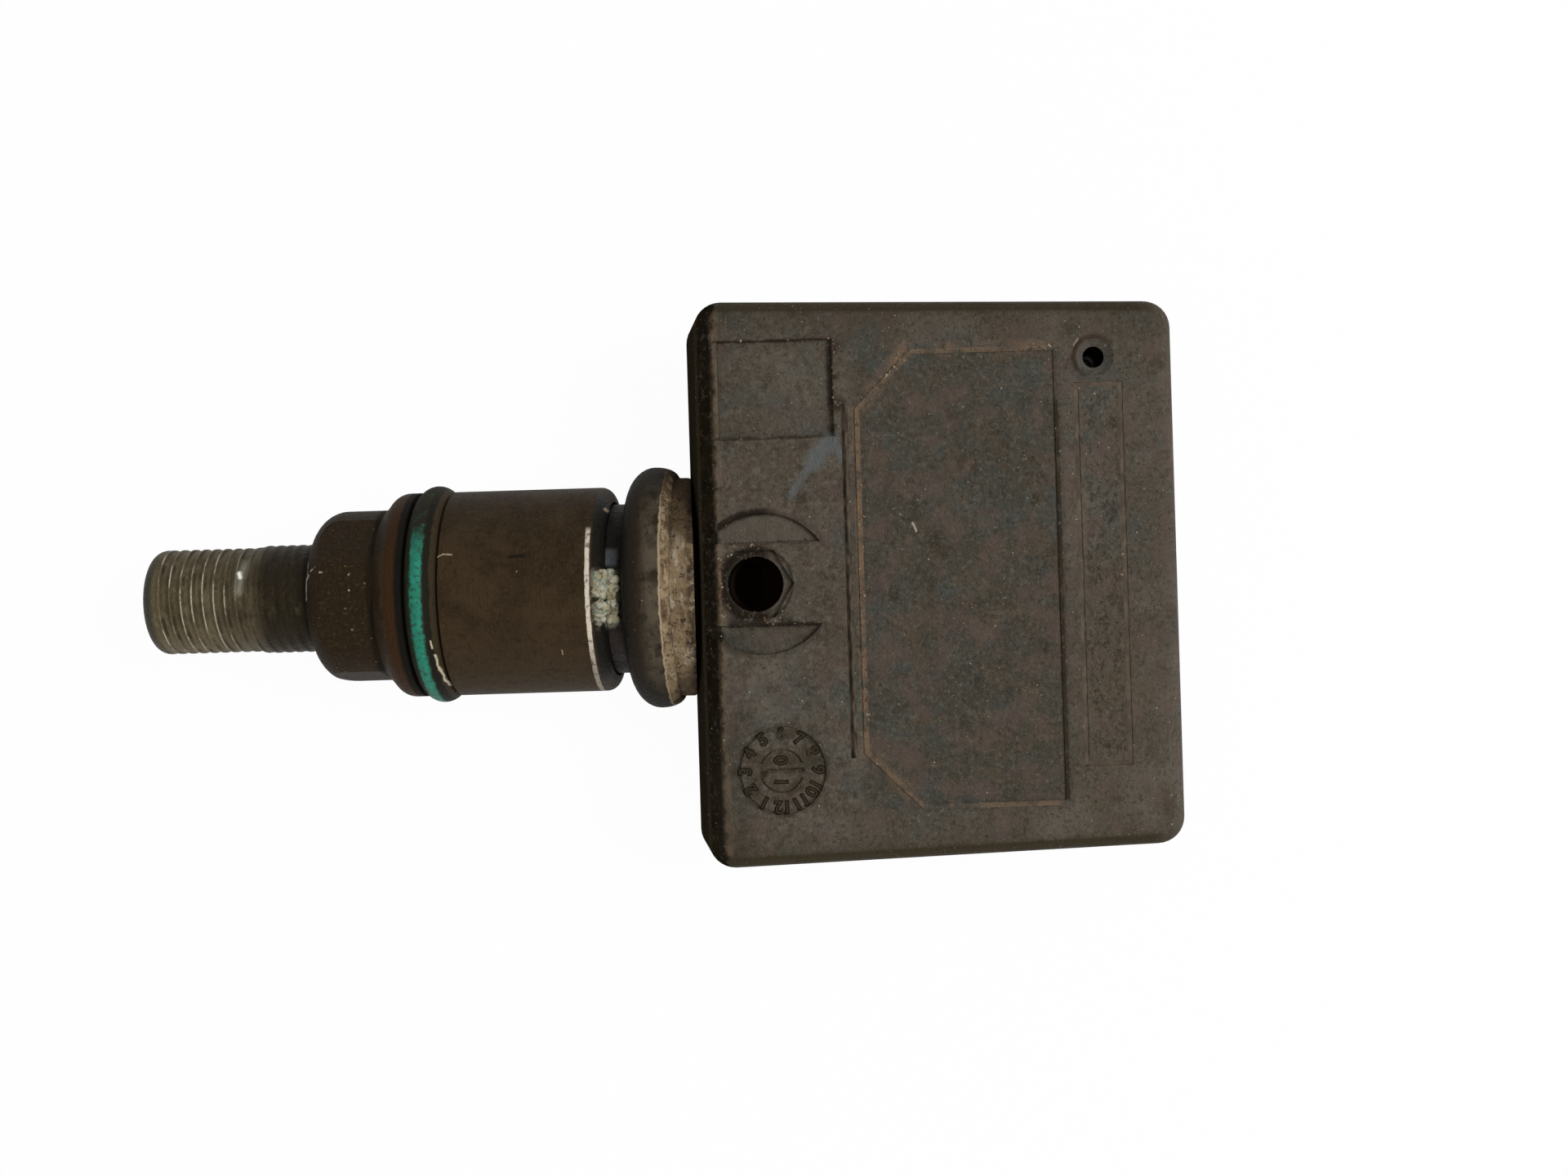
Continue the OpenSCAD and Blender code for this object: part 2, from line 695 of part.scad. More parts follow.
// The core's head is a cup with a slot across its rim, and its barrel holds the spring
module core_body() color([0.72, 0.6, 0.32]) from_seat() along_stem() difference() {
  union() {
    stem_round(core_head_d, s_core_head, s_core);
    stem_round(core_barrel_d, s_core_end, s_core_head);
  }
  stem_round(core_pin_d + 2 * fit, s_core_end - cut, s_core + cut);
  stem_round(core_bore_d, s_spring_fixed, s_core_head - core_top_wall);
  stem_round(core_head_d - 2 * core_rim_t, s_core_head + core_floor_t, s_core + cut);
  translate([-core_head_d, -core_slot_w / 2, s_core - core_slot_depth])
    cube([2 * core_head_d, core_slot_w, 2 * cut]);
}

module core_seal() color([0.85, 0.83, 0.78]) from_seat() along_stem() difference() {
  stem_round(core_seat_d, s_core_seat - core_seal_l, s_core_seat);
  stem_round(core_barrel_d, s_core_seat - core_seal_l - cut, s_core_seat + cut);
}

module core_pin() color([0.75, 0.65, 0.4]) from_seat() along_stem() {
  stem_round(core_pin_d, s_core_end - core_cup_l, s_core - pin_sink);
  stem_round(core_bore_d - 2 * spring_gap, s_spring_free, s_spring_free + pin_collar_t);
}

module core_cup() color([0.12, 0.12, 0.12]) from_seat() along_stem() difference() {
  stem_round(core_barrel_d - 2 * core_cup_step, s_core_end - core_cup_l, s_core_end);
  stem_round(core_pin_d, s_core_end - core_cup_l - cut, s_core_end + cut);
}

// The core's spring, a wire swept along a helix by the points that the function gives
function spring_point(i, k) =
  let (
    wire = spring_wire_d / 2,
    a = 360 * i / spring_steps,
    b = 360 * k / spring_sides,
    run = s_spring_free - s_spring_fixed - spring_wire_d,
    r = spring_r + wire * cos(b)
  )
  [r * cos(a), r * sin(a), s_spring_fixed + wire + run * i / (spring_steps * spring_turns) + wire * sin(b)];

module core_spring() color([0.7, 0.7, 0.72]) from_seat() along_stem() {
  rings = spring_steps * spring_turns;
  sides = spring_sides;
  polyhedron(
    points = [for (i = [0:rings], k = [0:sides - 1]) spring_point(i, k)],
    faces = concat(
      [[for (k = [sides - 1:-1:0]) k]],
      [[for (k = [0:sides - 1]) rings * sides + k]],
      [for (i = [0:rings - 1], k = [0:sides - 1]) let (n = (k + 1) % sides)
        [i * sides + k, i * sides + n, (i + 1) * sides + n]],
      [for (i = [0:rings - 1], k = [0:sides - 1]) let (n = (k + 1) % sides)
        [i * sides + k, (i + 1) * sides + n, (i + 1) * sides + k]]
    )
  );
}

housing();
base_cover();
potting();
circuit_board();
battery_cell();
battery_tab_top();
battery_tab_bottom();
pressure_sensor();
port_seal();
controller_chip();
crystal();
antenna_loop();
receiver_core();
receiver_winding();
chip_parts();
motion_switch();
valve_stem();
backing_washer();
rim_grommet();
sleeve_nut();
colour_ring();
core_body();
core_seal();
core_pin();
core_cup();
core_spring();
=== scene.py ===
# Tyre pressure sensor: thread, spring, dial numbers, dirt and every finish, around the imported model
import math
import random

import bmesh
import bpy
from mathutils import Matrix, Vector, noise
from mathutils.bvhtree import BVHTree


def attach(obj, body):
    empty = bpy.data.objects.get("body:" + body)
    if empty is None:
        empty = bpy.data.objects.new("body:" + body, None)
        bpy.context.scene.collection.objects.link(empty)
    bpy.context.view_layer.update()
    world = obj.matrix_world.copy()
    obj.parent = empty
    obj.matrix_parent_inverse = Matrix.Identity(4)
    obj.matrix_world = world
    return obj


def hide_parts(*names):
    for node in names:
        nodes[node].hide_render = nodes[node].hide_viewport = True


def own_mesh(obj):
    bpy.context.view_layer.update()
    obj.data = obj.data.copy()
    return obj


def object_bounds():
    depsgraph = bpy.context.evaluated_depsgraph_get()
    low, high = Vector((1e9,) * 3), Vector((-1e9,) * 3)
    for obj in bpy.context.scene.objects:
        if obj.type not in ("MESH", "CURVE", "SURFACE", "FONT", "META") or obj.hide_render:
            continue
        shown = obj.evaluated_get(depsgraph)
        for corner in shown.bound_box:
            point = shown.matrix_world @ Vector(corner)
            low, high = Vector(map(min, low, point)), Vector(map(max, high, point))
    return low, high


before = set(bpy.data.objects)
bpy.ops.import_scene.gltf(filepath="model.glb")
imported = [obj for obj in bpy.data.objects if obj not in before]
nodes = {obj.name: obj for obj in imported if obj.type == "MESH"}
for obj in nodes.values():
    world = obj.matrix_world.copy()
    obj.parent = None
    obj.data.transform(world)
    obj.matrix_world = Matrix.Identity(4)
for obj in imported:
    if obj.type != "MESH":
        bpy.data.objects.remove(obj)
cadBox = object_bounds()
mm = 0.001
bpy.context.scene.view_settings.view_transform = "Standard"
print("frame loaded,", len(nodes), "nodes")


def addNode(tree, kind, inputs=None, **settings):
    made = tree.nodes.new("ShaderNode" + kind)
    for name, value in settings.items():
        setattr(made, name, value)
    for key, value in (inputs or {}).items():
        if isinstance(value, bpy.types.NodeSocket):
            tree.links.new(value, made.inputs[key])
        else:
            made.inputs[key].default_value = value
    return made


# One material, painted on in coats. Every length in it is in millimetres, in the part's own frame.
class Finish:
    def __init__(self, name, look, base, roughness, metallic=0.0, gloss=0.5, tint=(1.0, 0.85, 0.66)):
        self.material = bpy.data.materials.new(name)
        self.material.use_nodes = True
        self.tree = self.material.node_tree
        self.shader = self.tree.nodes["Principled BSDF"]
        self.shader.inputs["Specular Tint"].default_value = (*tint, 1)
        self.look = look
        self.colour = (*look[base], 1)
        self.roughness = roughness
        self.metallic = metallic
        self.gloss = gloss
        self.height = None
        metres = self.node("TexCoord").outputs["Object"]
        self.place = self.vector("SCALE", metres, scale=1 / mm)
        self.x, self.y, self.z = self.node("SeparateXYZ", {0: self.place}).outputs
        self.flat = self.vector("MULTIPLY", self.place, (1, 1, 0))

    def node(self, kind, inputs=None, **settings):
        return addNode(self.tree, kind, inputs, **settings)

    def calc(self, operation, a, b=0.0, clamp=False):
        return self.node("Math", {0: a, 1: b}, operation=operation, use_clamp=clamp).outputs[0]

    def vector(self, operation, a, b=(0, 0, 0), scale=1.0):
        inputs = {0: a, 3: scale} if operation == "SCALE" else {0: a, 1: b}
        made = self.node("VectorMath", inputs, operation=operation)
        return made.outputs["Value" if operation in ("DISTANCE", "DOT_PRODUCT", "LENGTH") else "Vector"]

    def mix(self, a, b, mask, kind="FLOAT"):
        first = {"FLOAT": 2, "RGBA": 6}[kind]
        made = self.node("Mix", {0: mask, first: a, first + 1: b}, data_type=kind)
        return made.outputs[{"FLOAT": 0, "RGBA": 2}[kind]]

    # masks, from 0 to 1
    def fade(self, value, off, on):
        inputs = {"Value": value, "From Min": off, "From Max": on}
        return self.node("MapRange", inputs, interpolation_type="SMOOTHSTEP").outputs[0]

    def both(self, *masks):
        total = masks[0]
        for mask in masks[1:]:
            total = self.calc("MULTIPLY", total, mask)
        return total

    def either(self, *masks):
        total = masks[0]
        for mask in masks[1:]:
            total = self.calc("MAXIMUM", total, mask)
        return total

    def share(self, mask, amount):
        return self.calc("MULTIPLY", mask, amount)

    def outside(self, mask):
        return self.calc("SUBTRACT", 1.0, mask)

    def cloud(self, scale, off, on, detail=3.0, shift=0.0, stretch=(1, 1, 1)):
        inputs = {0: self.place, "Location": (shift, shift, shift), "Scale": stretch}
        where = self.node("Mapping", inputs)
        inputs = {"Vector": where.outputs[0], "Scale": scale, "Detail": detail, "Roughness": 0.62}
        return self.fade(self.node("TexNoise", inputs).outputs[0], off, on)

    def dots(self, scale, size, amount, shift=0.0):
        where = self.node("Mapping", {0: self.place, "Location": (shift, shift, shift)})
        cells = self.node("TexVoronoi", {"Vector": where.outputs[0], "Scale": scale})
        pick = self.node("SeparateColor", {0: cells.outputs["Color"]}).outputs[0]
        near = self.fade(cells.outputs["Distance"], size, size * 0.55)
        return self.both(near, self.fade(pick, 1 - amount, 1.004 - amount))

    def band(self, value, low, high, soft=0.05):
        away = self.calc("ABSOLUTE", self.calc("SUBTRACT", value, (low + high) / 2))
        half = (high - low) / 2
        return self.fade(away, half + soft, half - soft)

    def box(self, x, y, soft=0.1):
        return self.both(self.band(self.x, *x, soft), self.band(self.y, *y, soft))

    def disc(self, centre, radius, soft=0.05):
        gap = self.vector("DISTANCE", self.flat, (*centre, 0))
        return self.fade(gap, radius + soft, radius - soft)

    def hoop(self, centre, radius, width, soft=0.05):
        gap = self.vector("DISTANCE", self.flat, (*centre, 0))
        return self.band(gap, radius - width / 2, radius + width / 2, soft)

    def stroke(self, start, end, width, soft=0.06):
        line = Vector((*end, 0)) - Vector((*start, 0))
        out = self.vector("SUBTRACT", self.flat, (*start, 0))
        along = self.vector("DOT_PRODUCT", out, line)
        along = self.calc("DIVIDE", along, line.length_squared, clamp=True)
        gap = self.vector("DISTANCE", out, self.vector("SCALE", line, scale=along))
        return self.fade(gap, width / 2 + soft, width / 2 - soft)

    def strokes(self, rows):
        return self.either(*[self.stroke(*row) for row in rows])

    # makes the outlines of later discs and strokes uneven
    def ruffle(self, scale, amount):
        grain = self.node("TexNoise", {"Vector": self.place, "Scale": scale, "Detail": 3.0})
        push = self.vector("SCALE", self.vector("SUBTRACT", grain.outputs["Color"], (0.5, 0.5, 0.5)),
                           scale=amount)
        self.flat = self.vector("MULTIPLY", self.vector("ADD", self.flat, push), (1, 1, 0))
        self.x, self.y, _ = self.node("SeparateXYZ", {0: self.flat}).outputs

    # a coat of one of the look's colours, as strong as its share, where all the masks meet
    def coat(self, colour, share, *masks, rough=None, metallic=None):
        mask = self.both(*masks)
        if share < 1:
            mask = self.share(mask, share)
        self.colour = self.mix(self.colour, (*self.look[colour], 1), mask, "RGBA")
        if rough is not None:
            self.roughness = self.mix(self.roughness, rough, mask)
        if metallic is not None:
            self.metallic = self.mix(self.metallic, metallic, mask)

    def lift(self, mask, height):
        step = self.calc("MULTIPLY", mask, height)
        self.height = step if self.height is None else self.calc("ADD", self.height, step)

    def grain(self, scale, height, detail=4.0, stretch=(1, 1, 1)):
        self.lift(self.cloud(scale, 0.2, 0.8, detail, stretch=stretch), height)

    def done(self):
        for socket, value in (("Base Color", self.colour), ("Roughness", self.roughness),
                              ("Metallic", self.metallic), ("Specular IOR Level", self.gloss)):
            if isinstance(value, bpy.types.NodeSocket):
                self.tree.links.new(value, self.shader.inputs[socket])
            else:
                self.shader.inputs[socket].default_value = value
        if self.height is not None:
            bump = self.node("Bump", {"Height": self.height, "Distance": mm})
            self.tree.links.new(bump.outputs[0], self.shader.inputs["Normal"])
        return self.material


def around(x, radius, angle):
    return Vector((x, radius * math.cos(angle), radius * math.sin(angle))) * mm


def wear(piece, material):
    piece.data.materials.clear()
    piece.data.materials.append(material)


def place(name, bm, material):
    mesh = bpy.data.meshes.new(name)
    bm.to_mesh(mesh)
    bm.free()
    piece = bpy.data.objects.new(name, mesh)
    bpy.context.scene.collection.objects.link(piece)
    wear(piece, material)
    return piece


def newPiece(name, bm, body, material, smooth=True):
    piece = place(name, bm, material)
    for face in piece.data.polygons:
        face.use_smooth = smooth
    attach(piece, body)
    return piece


# Housing: dark moulded plastic, greyed and scuffed, with brown road dust in every recess, painted shadow
# along some recess walls, and painted shade on its leaned side, its chamfer and its rounded edges
housingLook = {
    "plastic": (0.068, 0.058, 0.044),
    "worn": (0.105, 0.092, 0.073),
    "pale": (0.135, 0.118, 0.095),
    "brown": (0.074, 0.055, 0.037),
    "blueGrey": (0.052, 0.059, 0.054),
    "panel": (0.045, 0.042, 0.033),
    "side": (0.007, 0.0052, 0.0032),
    "lean": (0.031, 0.0236, 0.0148),
    "edge": (0.03, 0.0222, 0.0106),
    "pit": (0.028, 0.023, 0.016),
    "tan": (0.125, 0.09, 0.056),
    "dust": (0.15, 0.1, 0.062),
    "dirt": (0.012, 0.0085, 0.0055),
    "line": (0.02, 0.014, 0.0085),
    "red": (0.088, 0.062, 0.05),
    "rim": (0.088, 0.084, 0.07),
    "speck": (0.42, 0.37, 0.29),
    "scuff": (0.098, 0.112, 0.112),
    "face": 8.5,  # height of the marked face
    "panelX": (16.9, 31.15),
    "panelY": (-15.97, 15.97),
    "squareX": (7.45, 15.45),
    "squareY": (10.1, 16.9),
    "air": (9.65, 0),
    "airRadius": 1.95,
    "crescent": (10.2, 0),
    "crescentRadius": 4.95,
    "dial": (11.1, -13.0),
    "port": (33.65, 15.1),
    "groove": (16.17, 12.3),
    "frontEdge": 7.1,  # where the marked face meets its chamfer
    "foot": 4.55,  # the side towards the stem, below its lean
    "leanSlope": 0.1673,
    "farEnd": 39.15,
    "strip": (32.15, 35.55),
    "stripHalf": 13.34,
    # marks on the face, each with its start, end, width and softness
    "strayDust": [((16.7, 12.1), (16.6, 8.6), 0.6, 0.4), ((17.3, 12.2), (20.7, 16.2), 0.8, 0.4),
                  ((20.4, 16.2), (30.8, 15.9), 0.6, 0.4), ((17.0, -11.9), (20.6, -15.6), 0.7, 0.4)],
    "scuffs": [((12.3, 6.1), (14.6, 9.4), 0.45, 0.25), ((13.9, 8.3), (15.2, 9.8), 1.2, 0.3),
               ((15.5, 9.4), (16.2, 8.5), 0.6, 0.2)],
    "nicks": [((20.7, 3.9), (20.95, 3.35), 0.14), ((32.25, 15.9), (32.55, 16.35), 0.05)],
    "tips": [((14.15, 3.25), (13.95, 2.8), 0.09), ((14.3, -2.95), (14.1, -3.6), 0.07),
             ((13.0, 4.1), (14.1, 3.25), 0.05)],
}


def housingFinish():
    look = housingLook
    face = look["face"]
    frontEdge = look["frontEdge"]
    left, right = look["panelX"]
    f = Finish("housing plastic", look, "plastic", 0.66, gloss=0.12)
    f.ruffle(2.2, 0.2)
    top = f.fade(f.z, face - 1.3, face - 0.1)
    onFace = f.both(f.fade(f.z, face - 0.9, face - 0.6), f.fade(f.x, frontEdge - 0.1, frontEdge + 0.1))
    # broad patches, then finer mottling
    f.coat("worn", 0.75, f.cloud(0.16, 0.42, 0.6, 5))
    f.coat("brown", 0.6, f.cloud(0.28, 0.48, 0.64, 6, 21))
    f.coat("blueGrey", 0.65, f.cloud(0.24, 0.5, 0.66, 6, 7))
    inPanel = f.both(f.box(look["panelX"], look["panelY"], 0.5), top)
    f.coat("panel", 0.85, inPanel)
    f.coat("blueGrey", 0.7, inPanel, f.cloud(0.3, 0.46, 0.66, 6, 3))
    f.coat("brown", 0.75, inPanel, f.cloud(0.55, 0.5, 0.66, 6, 31))
    # dust caught by worn relief in the panel and the strip
    relief = f.either(f.box((18.6, 22.9), (-10.5, 7.5), 0.8), f.box((23.6, 27.6), (-13.2, 11.0), 0.8),
                      f.box((28.0, 30.2), (-6.5, 8.5), 0.5))
    f.coat("brown", 0.8, relief, f.cloud(0.9, 0.5, 0.6, 5, 71), f.cloud(0.25, 0.4, 0.6, 3, 73))
    f.coat("pit", 0.7, relief, f.cloud(1.0, 0.53, 0.62, 5, 79), f.cloud(0.3, 0.4, 0.6, 3, 83))
    f.lift(f.both(relief, f.cloud(1.0, 0.4, 0.7, 3, 79)), -0.12)
    relief = f.box((32.7, 35.1), (-12.6, 12.6), 0.3)
    f.coat("pit", 0.6, relief, f.cloud(0.8, 0.5, 0.62, 4, 89))
    f.lift(f.both(relief, f.cloud(0.8, 0.45, 0.6, 3, 89)), -0.15)
    f.coat("worn", 0.6, top, f.cloud(2.4, 0.48, 0.7, 5, 11))
    f.coat("edge", 0.65, top, f.cloud(3.1, 0.5, 0.7, 5, 15))
    f.coat("pit", 0.7, f.cloud(3.6, 0.52, 0.72, 3, 5))
    f.coat("red", 0.65, top, f.cloud(0.45, 0.48, 0.64, 6, 91))
    f.coat("pit", 0.45, top, f.cloud(0.5, 0.54, 0.7, 7, 97))
    leftPart = f.both(top, f.fade(f.x, 17.5, 14.5))
    f.coat("pit", 0.5, leftPart, f.cloud(1.3, 0.5, 0.66, 7, 101))
    f.coat("pale", 0.5, leftPart, f.cloud(1.7, 0.52, 0.68, 7, 103))
    f.coat("worn", 0.7, f.cloud(4.2, 0.54, 0.74, 3, 17))
    # the rounded edges and the sides, darker and browner: painted shade on the rounded edges, left off at
    # the far end where the light falls; the sides darker still towards the bottom
    away = f.calc("ABSOLUTE", f.y)
    outside = f.either(f.fade(away, 17.3, 17.8), f.fade(f.x, 37.2, 37.6))
    below = f.both(outside, f.fade(f.z, face - 0.003, face - 0.12))
    f.coat("edge", 0.3, f.fade(away, 17.2, 19.2))
    f.coat("edge", 0.9, below, f.fade(f.x, look["farEnd"] - 0.6, look["farEnd"] - 2.5))
    f.coat("edge", 0.8, f.fade(f.z, face - 1.0, face - 4))
    sides = f.fade(f.z, face - 1.0, face - 2.5)
    f.coat("worn", 0.3, sides, f.cloud(0.35, 0.46, 0.68, 6, 111))
    f.coat("worn", 0.3, sides, f.cloud(2.0, 0.5, 0.7, 6, 113))
    f.coat("side", 0.4, sides, f.cloud(1.2, 0.5, 0.68, 6, 117))
    f.coat("side", 0.5, f.fade(f.z, -3.0, -8.5))
    # painted shade: the leaned face and the chamfer are coloured dark because they turn away from the
    # light, with some mottling on them
    leaned = f.calc("ADD", f.share(f.calc("MAXIMUM", f.z, 0.0), look["leanSlope"]), look["foot"])
    front = f.fade(f.calc("SUBTRACT", f.x, leaned), 1.3, 0.15)
    chipped = f.calc("ADD", f.x, f.share(f.cloud(0.8, 0.3, 0.7, 6, 52), 0.35))
    chamfer = f.both(f.fade(f.x, frontEdge - 1.15, frontEdge - 1.0), f.fade(f.z, face - 1.4, face - 1.0),
                     f.fade(chipped, frontEdge + 0.36, frontEdge + 0.12))
    f.coat("lean", 1, front)
    f.coat("side", 0.93, chamfer)
    f.coat("worn", 0.4, chamfer, f.cloud(2.2, 0.54, 0.68, 6, 2))
    f.coat("edge", 0.4, chamfer, f.cloud(0.5, 0.44, 0.66, 4, 37))
    f.coat("edge", 0.45, front, f.cloud(0.7, 0.4, 0.8, 6, 27))
    f.coat("worn", 0.12, front, f.cloud(3.0, 0.56, 0.7, 4, 29))
    f.coat("pit", 0.2, top, f.fade(f.y, 15.8, 16.8))
    f.coat("pit", 0.4, f.fade(f.y, -6.0, -12.0), f.fade(f.x, 10.0, 7.6), top)
    inHole = f.both(f.fade(f.z, face - 0.51, face - 0.56),
                    f.either(f.disc(look["air"], look["airRadius"] + 0.3), f.disc(look["port"], 1.2)))
    f.gloss = f.share(f.outside(f.either(front, chamfer, inHole)), 0.12)
    border = f.both(f.band(f.x, frontEdge - 0.05, frontEdge + 0.45, 0.2),
                    f.fade(f.z, face - 0.3, face - 0.1))
    f.coat("tan", 0.55, border, f.cloud(0.9, 0.34, 0.62, 5, 23), rough=0.85)
    # dust on the raised outline, dirt in what is sunk, and painted shadow beside the outline's right side
    # and inside the square's walls
    raised = f.both(f.fade(f.z, face + 0.03, face + 0.09), f.fade(f.x, 30.6, 30.2))
    f.coat("dust", 0.6, raised, f.cloud(0.9, 0.4, 0.62, 5), rough=0.85)
    beside = f.box((left - 0.15, left + 0.3), (-12.3, 12.0), 0.12)
    f.coat("dust", 0.8, beside, onFace, f.cloud(0.8, 0.36, 0.56, 5, 9), rough=0.85)
    f.coat("dust", 0.75, f.strokes(look["strayDust"]), top, f.cloud(0.7, 0.42, 0.6, 5, 4), rough=0.85)
    sunk = f.both(f.fade(f.z, face - 0.08, face - 0.16), onFace)
    half = look["stripHalf"] + 0.3
    inStrip = f.box((look["strip"][0] - 0.3, look["strip"][1] + 0.3), (-half, half))
    atDial = f.disc(look["dial"], 3.3)
    middle, half = look["groove"]
    groove = f.box((middle - 0.3, middle + 0.3), (-half, half), 0.1)
    f.coat("line", 0.8, sunk, groove, rough=0.9)
    f.coat("pit", 0.6, sunk, inStrip, f.cloud(0.5, 0.4, 0.6, 5, 44), rough=0.9)
    f.coat("edge", 0.6, atDial, onFace, f.cloud(0.9, 0.4, 0.62, 5, 13), rough=0.9)
    dialBar = f.either(f.stroke((10.2, -12.95), (12.5, -12.88), 0.2, 0.08),
                       f.disc((9.85, -13.25), 0.26, 0.14))
    f.coat("line", 0.85, dialBar, onFace, f.cloud(1.2, 0.26, 0.5, 4, 39), rough=0.9)
    # painted shadow: a dark line along the right side of the raised outline
    rightLine = f.either(f.box((right - 0.42, right - 0.08), (-15.6, 12.2), 0.1),
                         f.share(f.box((right - 0.42, right - 0.1), (12.2, 15.9), 0.14), 0.4))
    f.coat("line", 0.85, rightLine, top, f.cloud(0.9, 0.26, 0.5, 5, 6), rough=0.9)
    left, right = look["squareX"]
    low, high = look["squareY"]
    # painted shadow inside the square's walls, widest on the right and below
    squareEdge = f.both(f.box((left - 0.3, right + 0.12), (low - 0.12, high + 0.1), 0.05),
                        f.outside(f.box((left - 1, right - 0.45), (low + 0.16, high - 0.1), 0.12)))
    f.coat("line", 0.7, squareEdge, onFace, f.cloud(0.9, 0.34, 0.52, 4, 6), rough=0.9)
    lump = f.either(f.disc((15.75, 12.3), 0.55, 0.3), f.disc((15.6, 16.2), 0.35, 0.3),
                    f.disc((15.65, 14.2), 0.2, 0.2))
    f.coat("line", 0.85, lump, onFace, f.cloud(1.1, 0.36, 0.54, 5, 57), rough=0.9)
    # the two crescents, the upper one lighter and the lower darker, with painted shadow along the upper
    # arc and the straight edges, and dirt in the seat round the air hole
    inCrescents = f.both(f.disc(look["crescent"], look["crescentRadius"]), sunk)
    f.coat("worn", 0.35, inCrescents, f.fade(f.y, 2.7, 2.9))
    f.coat("pit", 0.2, inCrescents, f.fade(f.y, -2.7, -2.9))
    # painted shadow: the dark line along the upper arc, strongest at its left, and along the straight
    # edges, in the dirt colour
    upper = f.fade(f.y, 2.6, 2.9)
    rim = f.both(f.hoop(look["crescent"], look["crescentRadius"] + 0.05, 0.5, 0.15), onFace,
                 f.either(f.both(upper, f.fade(f.x, 11.9, 10.0)),
                          f.share(f.both(upper, f.fade(f.x, 9.6, 13.4)), 0.3),
                          f.share(f.fade(f.y, -2.6, -2.9), 0.3)))
    f.coat("dirt", 0.95, rim, f.cloud(0.9, 0.24, 0.42, 5, 8), rough=0.9)
    flats = f.both(f.either(f.share(f.band(f.y, 2.7, 2.95, 0.06), 0.6), f.band(f.y, -3.0, -2.7, 0.06)),
                   f.box((7.7, 13.9), (-4, 4), 0.2), onFace)
    f.coat("dirt", 0.8, flats, f.cloud(0.9, 0.3, 0.46, 4, 18), rough=0.9)
    seat = f.both(f.hoop(look["air"], look["airRadius"] + 0.35, 0.8, 0.25), onFace,
                  f.either(f.fade(f.x, 10.9, 10.2), f.hoop(look["air"], 2.6, 0.22, 0.12)))
    f.coat("dirt", 0.95, seat, f.cloud(1.0, 0.3, 0.46, 5, 1), rough=0.9)
    # painted shadow along the lower straight edge, in the dirt colour
    lower = f.stroke((8.0, -2.6), (13.2, -2.7), 0.6, 0.4)
    f.coat("dirt", 0.8, lower, onFace, f.cloud(0.9, 0.4, 0.54, 5, 14), rough=0.9)
    f.coat("rim", 0.45, f.disc(look["port"], 1.15, 0.2), onFace, rough=0.6)
    f.coat("line", 0.8, f.hoop(look["port"], 1.42, 0.3, 0.12), onFace, f.cloud(0.9, 0.26, 0.5, 5, 48),
           f.either(f.fade(f.x, 33.6, 32.6), f.share(f.fade(f.y, 15.6, 16.4), 0.7)), rough=0.9)
    # painted shade inside the air hole and the port, in the side colour
    f.coat("side", 1, inHole, rough=0.9)
    # worn and scratched places
    wornEdge = f.both(f.box((frontEdge + 0.02, frontEdge + 0.2), (-2.2, 3.4), 0.1),
                      f.fade(f.z, face - 0.5, face - 0.1), f.cloud(1.1, 0.4, 0.56, 4, 19))
    f.coat("dust", 0.8, wornEdge)
    scuffs = f.strokes(look["scuffs"])
    f.coat("scuff", 0.7, scuffs, onFace, f.cloud(0.8, 0.2, 0.5, 5, 61), rough=0.5)
    f.coat("speck", 0.8, f.strokes(look["nicks"]), top, rough=0.5)
    f.coat("tan", 0.75, f.strokes(look["tips"]), top, f.cloud(1.6, 0.3, 0.5, 4, 62), rough=0.6)
    specks = f.either(f.dots(1.1, 0.085, 0.16), f.dots(2.3, 0.12, 0.1, 4), f.dots(1.7, 0.1, 0.12, 33),
                      f.share(f.dots(3.4, 0.16, 0.14, 63), 0.6))
    f.coat("speck", 0.55, specks, rough=0.6)
    f.coat("dust", 0.5, f.dots(2.9, 0.24, 0.14, 8), rough=0.8)
    f.roughness = f.mix(0.55, f.roughness, f.cloud(0.5, 0.3, 0.6, 4))
    f.grain(6.0, 0.09)
    f.grain(1.3, 0.12)
    f.grain(18.0, 0.025, 2)
    return f.done()


wear(nodes["housing"], housingFinish())
print("housing painted")


# Raised numbers 1 to 12 round the month dial, two more beside its bar, each on a wider dark foot that is
# painted shadow round its edges
dialLook = {
    "radius": 2.5,
    "size": 1.2,
    "innerSize": 1.25,
    "inner": [(0, 0.72), (1, -0.78)],  # the two beside the bar, and their places across it
    "layers": [(0.08, 0.03), (-0.01, 0.1)],  # how far each layer is widened, and its height
    "turn": -90,  # the 12 points at the housing's long side
    # painted shadow round each number
    "foot": (0.01, 0.007, 0.0045),
    "top": (0.034, 0.026, 0.018),
    "brown": (0.03, 0.022, 0.014),
}


def dialDigit(bm, digit, size, spot, turn):
    for widened, rise in dialLook["layers"]:
        text = bpy.data.curves.new("digit", "FONT")
        text.body = str(digit)
        text.size = size * mm
        text.offset = widened * mm
        text.extrude = rise * mm
        text.align_x = "CENTER"
        text.align_y = "CENTER"
        holder = bpy.data.objects.new("digit", text)
        bpy.context.scene.collection.objects.link(holder)
        bpy.context.view_layer.update()
        graph = bpy.context.evaluated_depsgraph_get()
        outline = bpy.data.meshes.new_from_object(holder.evaluated_get(graph))
        outline.transform(Matrix.Translation(spot) @ Matrix.Rotation(turn, 4, "Z"))
        bm.from_mesh(outline)
        bpy.data.meshes.remove(outline)
        bpy.data.objects.remove(holder)
        bpy.data.curves.remove(text)


